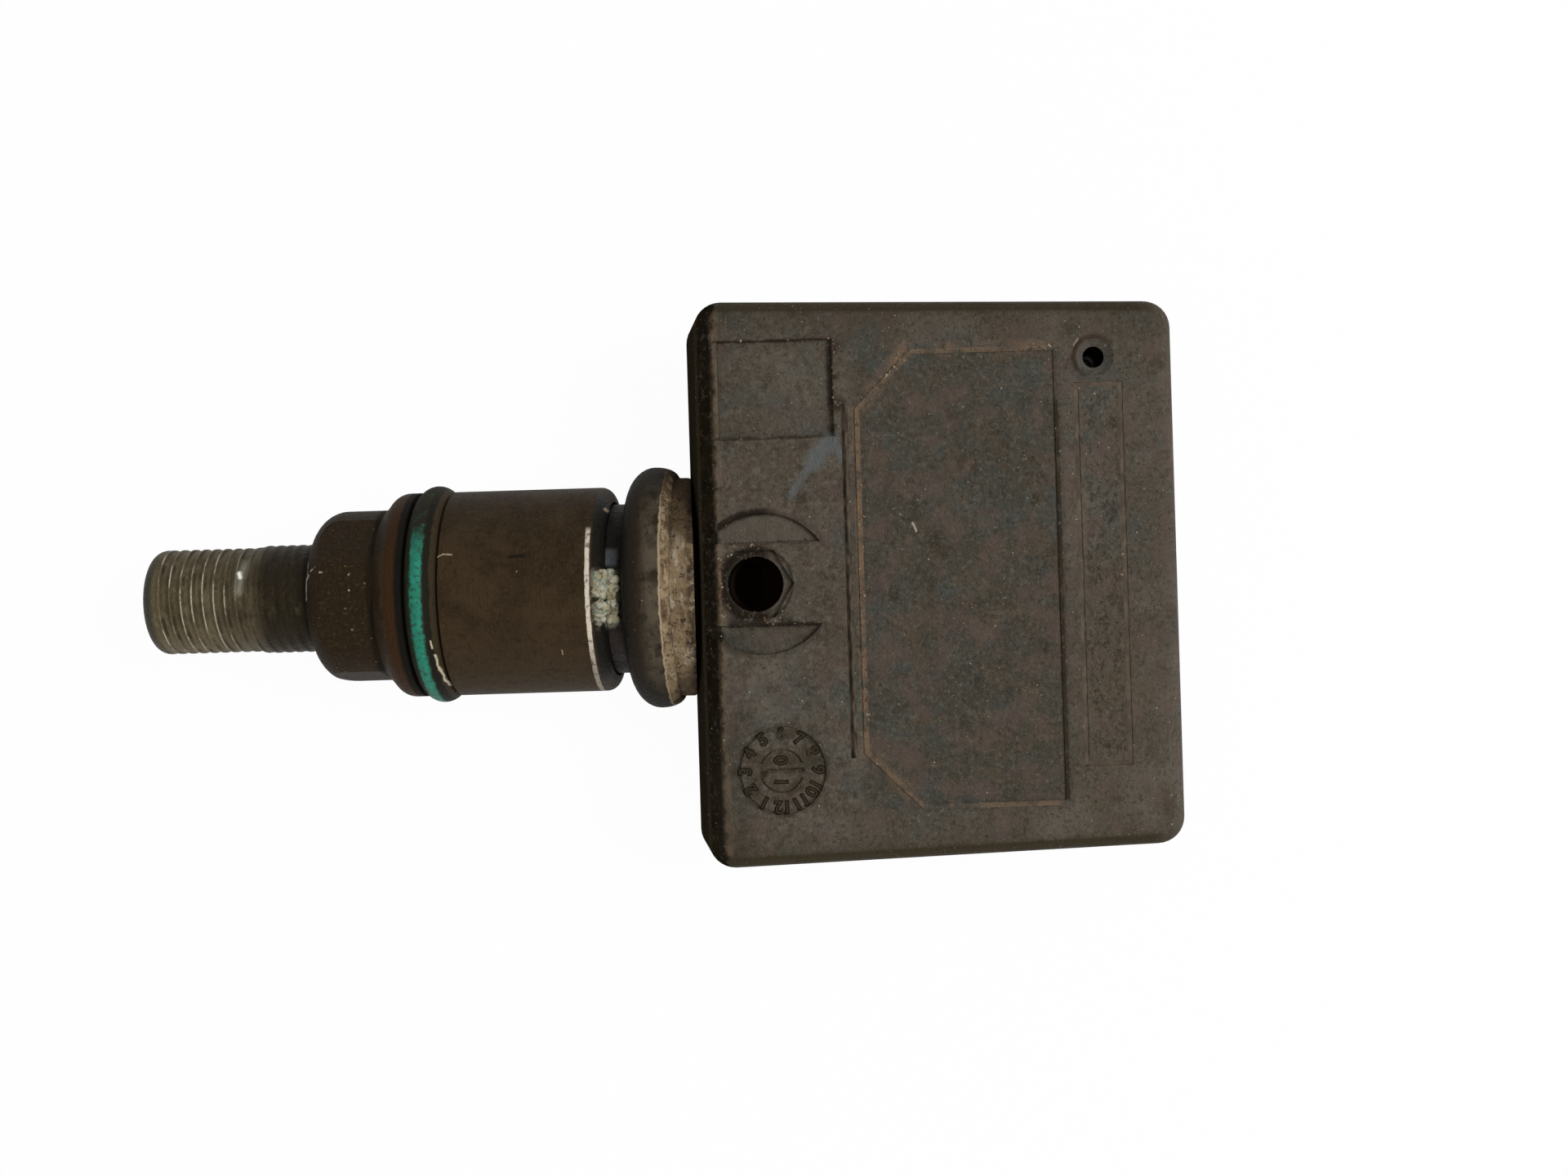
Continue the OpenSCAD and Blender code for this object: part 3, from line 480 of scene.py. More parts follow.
def buildDialNumbers():
    look = dialLook
    bm = bmesh.new()
    floor = housingLook["face"]
    centre = Vector((*housingLook["dial"], floor))
    for hour in range(1, 13):
        angle = math.radians(look["turn"] - 30 * hour)
        spot = centre + look["radius"] * Vector((math.cos(angle), math.sin(angle), 0))
        dialDigit(bm, hour, look["size"], spot * mm, angle - math.pi / 2)
    for digit, side in look["inner"]:
        dialDigit(bm, digit, look["innerSize"], (centre + Vector((0, side, 0))) * mm, math.pi / 2)
    # the foot's dark colour is painted shadow round each number; the tops are lighter
    f = Finish("dial numbers", look, "foot", 0.9, gloss=0.05)
    f.coat("top", 1, f.fade(f.z, floor + 0.04, floor + 0.08), rough=0.7)
    f.coat("brown", 0.7, f.cloud(2.0, 0.5, 0.64, 4))
    f.grain(8.0, 0.03)
    return newPiece("dial_numbers", bm, "sensor_unit", f.done(), smooth=False)


buildDialNumbers()
print("dial numbered")


# Valve stem: the real helical thread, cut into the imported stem's plain lengths
stemLook = {
    "pitch": 0.79375,
    "depth": 0.12,  # what the packed dirt leaves of it
    "greased": (-28.6, -22.0),  # where grease leaves only half of that
    "crest": 0.2,  # share of the pitch that is flat at the top
    "root": 0.16,
    "start": -5.3,  # where the shaft's cone ends
    "step": (-26.95, -27.55),  # the cone between the two thread sizes
    "end": -34.25,  # where the rounded tip begins
    "shaftRadius": 3.98,
    "capRadius": 3.85,
    "runOut": 0.9,
    "sides": 96,
    "metal": (0.07, 0.056, 0.03),
    "pale": (0.118, 0.094, 0.053),
    "grime": (0.029, 0.0215, 0.01),
    "grease": (0.0085, 0.006, 0.003),
    "green": (0.026, 0.027, 0.021),
    "glintHalo": (0.26, 0.25, 0.2),
    "bright": (0.66, 0.61, 0.5),
    "white": (0.85, 0.85, 0.8),
    "reddishShade": (0.018, 0.007, 0.0045),
    # painted highlight: the glint and its soft halo
    "glintHaloAt": ((-27.7, 2.7), (-27.9, 0.6), 0.4, 0.35),
    "glintAt": ((-28.0, 1.95), (-27.88, 1.65), 0.2, 0.14),
}


def threadCut(turn, look):
    # 0 on the crest, 1 in the root, for a place within one turn
    flank = (1 - look["crest"] - look["root"]) / 2
    away = abs(turn % 1.0 - 0.5)
    return min(1.0, max(0.0, (away - look["crest"] / 2) / flank))


def stemRadius(x, look):
    high, low = look["step"]
    share = min(1.0, max(0.0, (high - x) / (high - low)))
    return look["shaftRadius"] + (look["capRadius"] - look["shaftRadius"]) * share


def threadRows(look):
    flank = (1 - look["crest"] - look["root"]) / 2
    marks = [look["crest"] / 2 + flank * part for part in (0, 0.5, 1)]
    return sorted([0.5 - m for m in marks] + [0.5 + m for m in marks] + [0.5])


def buildStem():
    look = stemLook
    bm = bmesh.new()
    bm.from_mesh(nodes["valve_stem"].data)
    bmesh.ops.remove_doubles(bm, verts=bm.verts, dist=1e-6)
    slack = 0.02
    plain = [face for face in bm.faces if all(
        look["end"] - slack <= v.co.x / mm <= look["start"] + slack
        and math.hypot(v.co.y, v.co.z) / mm > look["capRadius"] - slack for v in face.verts)]
    bmesh.ops.delete(bm, geom=plain, context="FACES")
    turns = math.ceil((look["start"] - look["end"]) / look["pitch"]) + 2
    rows = []
    for turn in range(turns):
        for mark in threadRows(look):
            offset = (turn - 1 + mark) * look["pitch"]
            ring = []
            for side in range(look["sides"] + 1):
                angle = math.tau * side / look["sides"]
                x = look["end"] + offset + look["pitch"] * side / look["sides"]
                x = min(look["start"], max(look["end"], x))
                fadeIn = min(1.0, (x - look["end"]) / look["runOut"], (look["start"] - x) / look["runOut"])
                depth = look["depth"] * (0.5 if look["greased"][0] < x < look["greased"][1] else 1.0)
                radius = stemRadius(x, look) - depth * threadCut(mark, look) * max(0.0, fadeIn)
                ring.append(bm.verts.new(around(x, radius, angle)))
            rows.append(ring)
    for low, high in zip(rows, rows[1:]):
        for side in range(look["sides"]):
            bm.faces.new((low[side], high[side], high[side + 1], low[side + 1]))
    bmesh.ops.remove_doubles(bm, verts=bm.verts, dist=2e-6)
    bmesh.ops.dissolve_degenerate(bm, edges=bm.edges, dist=1e-7)
    bmesh.ops.recalc_face_normals(bm, faces=bm.faces)
    stem = newPiece("threaded_stem", bm, "sensor_unit", stemFinish(), smooth=False)
    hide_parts("valve_stem")
    return stem


def stemFinish():
    look = stemLook
    f = Finish("stem metal", look, "metal", 0.5, 0.12, gloss=0.25)
    turned = f.calc("MULTIPLY", f.calc("ARCTAN2", f.z, f.y), 1 / math.tau)
    along = f.calc("DIVIDE", f.calc("SUBTRACT", f.x, look["end"]), look["pitch"])
    phase = f.calc("FRACT", f.calc("SUBTRACT", along, turned))
    onThread = f.both(f.fade(f.x, look["start"] + 0.3, look["start"] - 0.3),
                      f.fade(f.x, look["end"], look["end"] + 0.1))
    f.coat("grime", 0.6, f.cloud(0.5, 0.45, 0.66, 5), rough=0.7, metallic=0.1)
    f.coat("pale", 0.7, f.cloud(0.9, 0.48, 0.7, 5, 7, stretch=(2, 1, 1)), rough=0.6, metallic=0.2)
    # painted light: the lower side of the stem lighter
    f.coat("pale", 0.75, f.fade(f.y, -1.0, -3.4))
    # grime and painted shade on the flank after each crest, in the thread's valleys
    valley = f.both(f.band(phase, 0.56, 0.8, 0.1), onThread)
    f.coat("grime", 0.85, valley, f.cloud(0.6, 0.34, 0.6, 4, 26), rough=0.75, metallic=0.0)
    f.coat("grease", 0.7, valley, f.cloud(0.5, 0.52, 0.62, 4, 66), rough=0.75, metallic=0.0)
    # painted highlights: bright lines on the thread's crests on the top of the stem
    brightLine = f.both(f.band(phase, 0.4, 0.5, 0.04),
                    f.cloud(0.36, 0.46, 0.54, 4, 3, stretch=(4.0, 1, 1)),
                    f.fade(f.x, -27.6, -29.0), onThread, f.fade(f.z, 1.0, 2.2))
    f.coat("bright", 0.95, brightLine, rough=0.3, metallic=0.3)
    # fainter painted highlights on the crests further along
    faint = f.both(f.band(phase, 0.4, 0.5, 0.05), f.fade(f.x, -24.6, -26.4), onThread)
    f.coat("pale", 0.6, faint, rough=0.4)
    f.coat("green", 0.9, f.fade(f.x, -34.1, -34.4), rough=0.5)
    greasy = f.either(f.fade(f.x, -27.9, -25.9), f.share(f.fade(f.x, -30.6, -28.0), 0.35))
    f.coat("grease", 0.92, greasy, f.cloud(0.6, 0.16, 0.42, 4, 5), rough=0.5, metallic=0.0)
    f.gloss = f.calc("SUBTRACT", 0.25, f.share(greasy, 0.14))
    f.coat("grime", 0.45, greasy, f.cloud(1.1, 0.54, 0.66, 5, 51, stretch=(3, 1, 1)))
    onTop = f.fade(f.z, 2, 3)
    # painted highlight: a glint on the top of the thread, with a soft grey halo round it
    f.coat("glintHalo", 0.55, f.stroke(*look["glintHaloAt"]), onTop, rough=0.35, metallic=0.0)
    f.coat("white", 1, f.stroke(*look["glintAt"]), onTop, rough=0.2, metallic=0.0)
    # painted shade: the part inside the housing coloured dark reddish, for the air hole's dark inside
    f.coat("reddishShade", 1, f.fade(f.x, 3.0, 4.0), rough=0.9, metallic=0.0)
    f.grain(5.0, 0.05)
    f.grain(1.6, 0.07, 3)
    return f.done()


buildStem()
print("stem threaded")


# Core spring: six turns of round wire, built at rest; in the valve they close up as the pin goes in
springLook = {
    "fixedEnd": -23.95,
    "freeEnd": -29.15,
    "travel": 1.2,
    "coilRadius": 0.825,
    "wire": 0.25,
    "turns": 6,
    "stepsPerTurn": 28,
    "sides": 10,
    "steel": (0.42, 0.4, 0.37),
    "stain": (0.12, 0.1, 0.08),
}


def tube(bm, points, radius, sides):
    rings = []
    for i, point in enumerate(points):
        ahead = points[min(i + 1, len(points) - 1)] - points[max(i - 1, 0)]
        across = ahead.cross(Vector((1, 0, 0))).normalized()
        up = across.cross(ahead).normalized()
        rings.append([bm.verts.new(point + radius * (across * math.cos(a) + up * math.sin(a)))
                      for a in (math.tau * k / sides for k in range(sides))])
    for low, high in zip(rings, rings[1:]):
        for k in range(sides):
            bm.faces.new((low[k], low[(k + 1) % sides], high[(k + 1) % sides], high[k]))
    bm.faces.new(rings[0][::-1])
    bm.faces.new(rings[-1])


def buildSpring():
    look = springLook
    count = look["turns"] * look["stepsPerTurn"]
    run = look["freeEnd"] - look["fixedEnd"] + look["wire"]
    points = []
    for i in range(count + 1):
        angle = math.tau * i / look["stepsPerTurn"]
        x = look["fixedEnd"] - look["wire"] / 2 + run * i / count
        points.append(around(x, look["coilRadius"], angle))
    bm = bmesh.new()
    tube(bm, points, look["wire"] / 2 * mm, look["sides"])
    bmesh.ops.recalc_face_normals(bm, faces=bm.faces)
    f = Finish("spring wire", look, "steel", 0.32, 1.0)
    f.coat("stain", 1, f.cloud(2.5, 0.5, 0.7), rough=0.6)
    spring = newPiece("coil_spring", bm, "sensor_unit", f.done())
    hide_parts("core_spring")
    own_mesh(spring)


buildSpring()
print("spring wound")


# Sleeve nut: dark anodised metal, rubbed bright at its open end
nutLook = {
    "brown": (0.021, 0.0132, 0.0064),
    "lighter": (0.037, 0.0238, 0.0118),
    "dark": (0.01, 0.007, 0.004),
    "black": (0.0045, 0.0048, 0.0042),
    "hex": (0.0138, 0.0084, 0.0038),
    "collar": (0.028, 0.0105, 0.0036),
    "bright": (0.58, 0.51, 0.41),
    "tan": (0.34, 0.27, 0.175),
    "crust": (0.2, 0.185, 0.135),
    "openEnd": -1.1,
    "endRadius": 0.9,
    "groove": (-15.3, -12.7),
    "flare": (-17.95, -16.05),
    # marks on its top, each with its start, end, width and softness
    "scratches": [((-12.75, 2.55), (-12.3, 2.8), 0.07, 0.04), ((-12.3, 2.8), (-11.7, 2.7), 0.09, 0.04),
                  ((-13.05, 2.6), (-12.85, 2.15), 0.08, 0.04), ((-1.25, 5.75), (-1.1, 5.6), 0.15, 0.1),
                  ((-4.3, -4.25), (-4.3, -4.55), 0.07, 0.04)],
    "chips": [((-22.65, 1.3), (-22.65, -0.1), 0.26, 0.05), ((-22.55, 1.25), (-22.35, 1.6), 0.12, 0.08),
              ((-22.5, 1.7), (-22.55, 2.5), 0.1, 0.05), ((-22.15, 1.9), (-21.75, 2.2), 0.08, 0.05),
              ((-21.35, 1.8), (-21.19, 1.8), 0.08, 0.08)],
    "nick": ((-7.6, 2.45), (-6.6, 2.5), 0.2, 0.08),
}


def nutFinish():
    look = nutLook
    flareStart, flareEnd = look["flare"]
    grooveStart, grooveEnd = look["groove"]
    f = Finish("nut anodising", look, "brown", 0.6, gloss=0.11, tint=(1, 0.76, 0.5))
    f.ruffle(2.0, 0.12)
    f.coat("lighter", 0.8, f.cloud(0.35, 0.4, 0.62, 5))
    # painted light: the lower side of the nut lighter
    f.coat("lighter", 0.85, f.fade(f.y, -1.0, -6.0))
    f.coat("hex", 0.9, f.fade(f.x, flareStart + 0.9, flareStart + 0.2))
    f.coat("dark", 0.5, f.cloud(2.2, 0.48, 0.7, 5, 5), rough=0.7)
    f.coat("lighter", 0.85, f.cloud(4.0, 0.5, 0.7, 3, 25))
    f.coat("collar", 0.8, f.band(f.x, flareEnd - 0.5, grooveStart + 0.1, 0.15))
    f.coat("dark", 1, f.band(f.x, flareStart - 0.1, flareStart + 0.35, 0.15), rough=0.8)
    # painted shade between the ring and the nut: black and dark bands on each side of the groove
    f.coat("black", 1, f.band(f.x, grooveStart - 0.45, grooveStart + 0.3, 0.14), rough=0.8)
    f.coat("dark", 1, f.band(f.x, grooveEnd - 0.3, grooveEnd + 0.04, 0.05), rough=0.8)
    onTop = f.fade(f.z, 0.5, 2.0)
    edge = look["openEnd"] - look["endRadius"]
    f.coat("black", 0.95, f.fade(f.x, edge, edge + 0.2), f.fade(f.z, 1.5, 4.0), rough=0.35)
    # the rubbed line round the open end, gone on the far side and fainter on the near one
    brightLine = f.both(f.band(f.x, edge - 0.36, edge - 0.04, 0.04),
                    f.fade(f.y, 4.5, 4.0), f.cloud(0.9, 0.26, 0.36, 5))
    f.coat("bright", 0.9, brightLine, rough=0.45)
    f.coat("dark", 0.75, brightLine, f.cloud(1.7, 0.52, 0.62, 5, 41))
    f.coat("brown", 0.5, brightLine, f.fade(f.y, -3.0, -6.0))
    f.coat("crust", 1, f.box((edge + 0.15, look["openEnd"] + 1.5), (-2.7, 1.3), 0.35), onTop,
           f.cloud(1.1, 0.44, 0.54, 5), rough=0.9)
    f.coat("tan", 0.9, f.strokes(look["scratches"]), onTop, rough=0.5)
    f.coat("bright", 0.85, f.strokes(look["chips"]), onTop, f.cloud(1.6, 0.3, 0.5, 4, 47), rough=0.4)
    f.coat("tan", 0.9, f.dots(2.6, 0.26, 0.4, 43), f.box((-19.7, -18.1), (-2.4, 3.2), 0.4), onTop,
           f.cloud(0.9, 0.4, 0.56, 3, 45))
    f.coat("black", 0.9, f.stroke(*look["nick"]), onTop, rough=0.8)
    f.coat("tan", 0.6, f.dots(1.0, 0.07, 0.12))
    f.coat("tan", 0.5, f.dots(2.0, 0.12, 0.12, 12), f.fade(f.x, -16, -18))
    f.coat("dark", 0.7, f.dots(1.6, 0.16, 0.1, 6))
    f.grain(5.0, 0.05)
    f.grain(14.0, 0.02, 2)
    f.grain(1.0, 0.04, 2, stretch=(9, 0.6, 0.6))
    return f.done()


wear(nodes["sleeve_nut"], nutFinish())
print("nut painted")


# Colour ring: green rubber, clean only along its crest, with dirt and painted shade down its sides, darker
# towards the top, and a painted shadow on its right side
ringLook = {
    "green": (0.012, 0.15, 0.096),
    "pale": (0.02, 0.215, 0.155),
    "dirt": (0.0125, 0.0095, 0.0055),
    "olive": (0.02, 0.026, 0.014),
    "brown": (0.03, 0.02, 0.0105),
    "black": (0.0045, 0.004, 0.003),
    "tan": (0.46, 0.41, 0.29),
    "middle": -14.15,
    "clean": 0.4,
    "scratches": [((-13.35, -3.3), (-13.3, -3.8), 0.1), ((-13.25, -4.3), (-12.95, -6.6), 0.13)],
}


def ringFinish():
    look = ringLook
    f = Finish("ring rubber", look, "green", 0.5, gloss=0.14)
    f.ruffle(1.5, 0.35)
    f.coat("pale", 0.6, f.cloud(1.4, 0.45, 0.65, 4))
    f.coat("olive", 0.7, f.cloud(3.0, 0.52, 0.62, 5, 14))
    middle = look["middle"]
    # dirt and painted shade on the sides that turn away from the crest
    dirtyAndShaded = f.outside(f.band(f.x, middle - look["clean"], middle + look["clean"], 0.12))
    upper = f.both(f.fade(f.y, 2.6, 5.2), f.cloud(1.5, 0.25, 0.5, 5, 2))
    f.coat("olive", 0.8, f.fade(f.y, 3.8, 5.6), rough=0.7)
    f.coat("dirt", 0.96, f.either(dirtyAndShaded, upper), rough=0.8)
    f.coat("olive", 0.6, dirtyAndShaded, f.cloud(1.2, 0.52, 0.66, 5, 8), rough=0.8)
    # painted shadow on the ring's right side, where it meets the nut
    f.coat("black", 0.85, f.band(f.x, middle + 0.5, middle + 0.95, 0.12), rough=0.7)
    f.coat("brown", 0.95, f.fade(f.x, middle + 0.85, middle + 1.0), rough=0.7)
    f.coat("dirt", 0.7, f.dots(1.5, 0.2, 0.3, 3), rough=0.8)
    f.coat("tan", 1, f.strokes(look["scratches"]), f.fade(f.z, 0.5, 2),
           f.cloud(1.6, 0.3, 0.42, 4, 29), rough=0.6)
    f.grain(5.0, 0.04)
    f.grain(1.4, 0.05)
    return f.done()


wear(nodes["colour_ring"], ringFinish())
print("ring painted")


# Grommet: black rubber, dusty on its bulge, crusted behind its crest and on its neck
grommetLook = {
    "rubber": (0.006, 0.0055, 0.0045),
    "brown": (0.016, 0.0115, 0.007),
    "dust": (0.068, 0.054, 0.037),
    "crust": (0.2, 0.142, 0.082),
    "dark": (0.05, 0.031, 0.016),
    "line": (0.34, 0.27, 0.17),
    "paleCrust": (0.2, 0.185, 0.135),
    "blueSheen": (0.075, 0.08, 0.088),
    "purple": (0.03, 0.021, 0.021),
    "crustStart": 3.02,
}


def grommetFinish():
    look = grommetLook
    f = Finish("grommet rubber", look, "rubber", 0.55, gloss=0.16)
    f.ruffle(1.8, 0.25)
    f.coat("brown", 1, f.fade(f.x, 0.3, 0.9), rough=0.8)
    f.coat("dust", 0.95, f.fade(f.x, 1.2, 2.4), f.cloud(0.7, 0.3, 0.6, 5), rough=0.85)
    f.coat("rubber", 0.8, f.fade(f.calc("ABSOLUTE", f.y), 5.5, 8.0), rough=0.7)
    f.coat("dust", 0.9, f.dots(2.2, 0.16, 0.4, 5), f.fade(f.x, 0.2, 0.6), rough=0.8)
    f.coat("line", 0.7, f.dots(1.6, 0.1, 0.25, 15), f.fade(f.x, 0.4, 0.8), rough=0.8)
    f.coat("rubber", 0.7, f.cloud(1.4, 0.52, 0.66, 6, 33, stretch=(2, 0.8, 1)), rough=0.8)
    start = look["crustStart"]
    behind = f.fade(f.x, start - 0.06, start + 0.06)
    f.coat("crust", 1, behind, rough=0.9)
    f.coat("dark", 0.9, behind,
           f.either(f.fade(f.y, 1.8, 4.6), f.cloud(0.8, 0.44, 0.62, 6, 4, stretch=(2, 0.7, 1))))
    f.coat("line", 0.55, behind, f.cloud(1.1, 0.46, 0.64, 5, 3, stretch=(2, 0.7, 1)), rough=0.85)
    f.coat("dark", 0.7, behind, f.cloud(3.2, 0.5, 0.64, 5, 19), rough=0.9)
    f.coat("line", 0.75, f.band(f.x, start - 0.1, start + 0.02, 0.04), f.fade(f.y, 7.0, 5.0), rough=0.6)
    f.coat("rubber", 0.8, behind, f.cloud(2.4, 0.58, 0.7, 5, 9), rough=0.9)
    onTop = f.fade(f.z, 2.0, 3.5)
    f.coat("paleCrust", 1, f.box((-1.4, -0.3), (-2.7, 1.3), 0.3), onTop,
           f.cloud(1.1, 0.44, 0.54, 5), rough=0.9)
    # painted sheen: a bluish reflection on the top of the black neck
    f.coat("blueSheen", 0.7, f.box((-1.5, -0.25), (1.6, 2.8), 0.15), onTop, rough=0.35)
    f.coat("purple", 0.9, f.box((-1.5, -0.1), (-5.2, -3.0), 0.3), onTop, rough=0.35)
    f.grain(3.0, 0.08)
    f.grain(9.0, 0.03)
    return f.done()


wear(nodes["rim_grommet"], grommetFinish())


# Backing washer: corroded, with a ragged pitted rim
washerLook = {
    "inner": 4.65,
    "outer": 8.1,
    "near": 3.65,
    "far": 4.55,
    "wedge": 0.1,  # share of its height by which dirt thickens it, up to the leaned side
    "ragged": 0.2,
    "sides": 220,
    "beige": (0.2, 0.142, 0.082),
    "brown": (0.058, 0.037, 0.02),
    "pale": (0.36, 0.3, 0.22),
    "dark": (0.018, 0.013, 0.009),
}


def washerFinish():
    look = washerLook
    f = Finish("washer corrosion", look, "beige", 0.85, gloss=0.1)
    f.coat("brown", 0.8, f.cloud(0.5, 0.46, 0.66, 6, stretch=(2, 0.7, 1)), rough=0.9)
    f.coat("pale", 0.75, f.cloud(1.0, 0.5, 0.66, 6, 3, stretch=(2, 0.7, 1)), rough=0.8)
    # browner and darker towards the top, and a little towards the bottom
    f.coat("brown", 0.9, f.fade(f.y, 1.8, 4.8), rough=0.9)
    f.coat("brown", 0.5, f.fade(f.y, -5.6, -7.2), rough=0.9)
    f.coat("dark", 0.85, f.cloud(2.4, 0.54, 0.66, 6, 8), rough=0.9)
    # pits and painted shade towards the far face, by the housing
    f.coat("dark", 0.8, f.fade(f.x, look["far"] - 0.1, look["far"] + 0.5), f.cloud(1.6, 0.36, 0.56, 5),
           rough=0.9)
    f.grain(5.0, 0.12)
    return f.done()


def buildWasher():
    look = washerLook
    profile = [("inner", "near", 0), ("outer", "near", 0.5), ("outer", "near", 1), ("outer", "far", 1),
               ("outer", "far", 0.5), ("inner", "far", 0)]
    rounding = (0, -0.12, 0, 0, -0.08, 0)
    bm = bmesh.new()
    rings = []
    for side in range(look["sides"]):
        angle = math.tau * side / look["sides"]
        ring = []
        for i, (radiusName, faceName, rough) in enumerate(profile):
            spot = Vector((look[faceName] * 3, 6 * math.cos(angle), 6 * math.sin(angle)))
            jag = noise.fractal(spot * 0.9, 0.8, 2.2, 5) * look["ragged"] * rough
            x = look[faceName]
            if faceName == "far":
                x += look["wedge"] * max(0.0, math.sin(angle)) * look[radiusName]
            if rough == 1 and faceName == "far":
                x -= 0.12 + abs(jag)
            radius = look[radiusName] + rounding[i] - abs(jag) * (radiusName == "outer")
            ring.append(bm.verts.new(around(x, radius, angle)))
        rings.append(ring)
    for i, ring in enumerate(rings):
        after = rings[(i + 1) % len(rings)]
        for k in range(len(ring)):
            n = (k + 1) % len(ring)
            bm.faces.new((ring[k], ring[n], after[n], after[k]))
    bmesh.ops.recalc_face_normals(bm, faces=bm.faces)
    washer = newPiece("corroded_washer", bm, "sensor_unit", washerFinish(), False)
    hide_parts("backing_washer")


buildWasher()
print("grommet and washer done")


# White crust of corrosion in the gap behind the nut, one part on the neck and the other on the nut
crustLook = {
    "seed": 11,
    "size": (0.12, 0.36),
    "y": (-2.2, 1.2),
    "parts": {  # body, slot, number of grains, their range along the axis and the radius that they sit on
        "neck_crust": ("sensor_unit", "grommet_rubber", 70, (-0.95, -0.4), 6.45),
        "end_crust": ("nut", "nut_metal", 60, (-1.65, -1.0), 7.2),
    },
    "white": (0.33, 0.315, 0.24),
    "yellow": (0.25, 0.22, 0.125),
    "green": (0.14, 0.19, 0.155),
    "brown": (0.08, 0.06, 0.036),
}


def crustFinish():
    look = crustLook
    f = Finish("white crust", look, "white", 0.9)
    f.coat("yellow", 1, f.cloud(0.9, 0.46, 0.6, 4))
    f.coat("green", 0.8, f.cloud(1.3, 0.52, 0.64, 4, 6))
    f.coat("brown", 0.85, f.cloud(2.6, 0.52, 0.64, 4, 9))
    f.grain(6.0, 0.06)
    return f.done()


def buildCrusts():
    look = crustLook
    material = crustFinish()
    chance = random.Random(look["seed"])
    for name, (body, slot, number, span, seat) in look["parts"].items():
        bm = bmesh.new()
        for _ in range(number):
            size = chance.uniform(*look["size"]) * mm
            x = chance.uniform(*span)
            y = chance.uniform(*look["y"])
            z = math.sqrt(seat ** 2 - y ** 2) + chance.uniform(-0.05, 0.12)
            spot = Vector((x, y, z)) * mm
            made = bmesh.ops.create_icosphere(bm, subdivisions=2, radius=size,
                                              matrix=Matrix.Translation(spot))
            for v in made["verts"]:
                push = noise.noise(v.co / mm * 3.2) * 0.35 * size
                v.co += (v.co - spot).normalized() * push
        newPiece(name, bm, body, material)


buildCrusts()
print("crust grown")


# Dried dirt: crumbs in the recesses and along the edges of the marked face, and dirt packed in its lines
crumbLook = {
    "seed": 7,
    "size": (0.05, 0.15),
    "flat": 0.45,
    "brown": (0.06, 0.04, 0.025),
    "tan": (0.22, 0.17, 0.115),
    "dark": (0.018, 0.013, 0.0085),
    "packed": (0.06, 0.046, 0.034),
    "top": 8.49,  # what the packed dirt stays below
    "packs": [  # start and end of a line, its width, and the dirt's unevenness and heights across it
        ((16.175, -12.28), (16.175, 12.28), 0.45, 0.2, (8.47, 8.46, 8.43, 8.36, 8.24, 8.18, 8.18)),
        ((32.325, -13.3), (32.325, 13.3), 0.34, 0.07, (8.43,) * 5),
        ((35.375, -13.3), (35.375, 13.3), 0.34, 0.07, (8.43,) * 5),
        ((32.5, 13.165), (35.2, 13.165), 0.34, 0.07, (8.45,) * 5),
        ((32.5, -13.165), (35.2, -13.165), 0.34, 0.07, (8.43,) * 5),
    ],
    "lowest": 7.9,  # no crumb lies lower
    "rows": [  # start, end, number, spread
        ((16.2, -12.0), (16.2, 12.2), 60, 0.12),
        ((17.1, -11.8), (17.1, 11.8), 50, 0.12),
        ((17.2, 12.3), (20.7, 15.8), 22, 0.15),
        ((20.9, 15.9), (30.9, 15.8), 26, 0.12),
        ((32.3, -13.2), (32.3, 13.2), 34, 0.12),
        ((35.4, -13.2), (35.4, 13.2), 26, 0.12),
        ((15.4, 10.3), (15.4, 16.8), 22, 0.12),
        ((7.8, 10.2), (15.3, 10.2), 22, 0.1),
        ((7.8, 16.8), (15.3, 16.8), 16, 0.1),
        ((8.2, -2.9), (13.6, -2.9), 22, 0.12),
        ((8.2, 2.9), (13.6, 2.9), 16, 0.12),
        ((7.5, -2.0), (7.5, 2.0), 26, 0.18),
        ((8.0, -2.1), (11.2, -2.1), 30, 0.22),
        ((8.0, 2.1), (10.9, 2.2), 18, 0.22),
    ],
}


def layDirt(bm, start, end, width, rough, heights):
    # a strip of dirt along a line, uneven on top and never above the marked face
    start = Vector(start)
    run = Vector(end) - start
    across = Vector((run.y, -run.x)).normalized()
    steps = math.ceil(run.length / 0.1)
    rows = []
    for i in range(steps + 1):
        row = []
        for k, height in enumerate(heights):
            spot = start + run * i / steps - across * width * (k / (len(heights) - 1) - 0.5)
            uneven = rough * noise.fractal(Vector((spot.x * 2, spot.y * 1.1, 0)), 0.9, 2, 4)
            height = min(crumbLook["top"], height + uneven)
            row.append(bm.verts.new(Vector((*spot, height)) * mm))
        rows.append(row)
    for low, high in zip(rows, rows[1:]):
        for k in range(len(heights) - 1):
            bm.faces.new((low[k], high[k], high[k + 1], low[k + 1]))


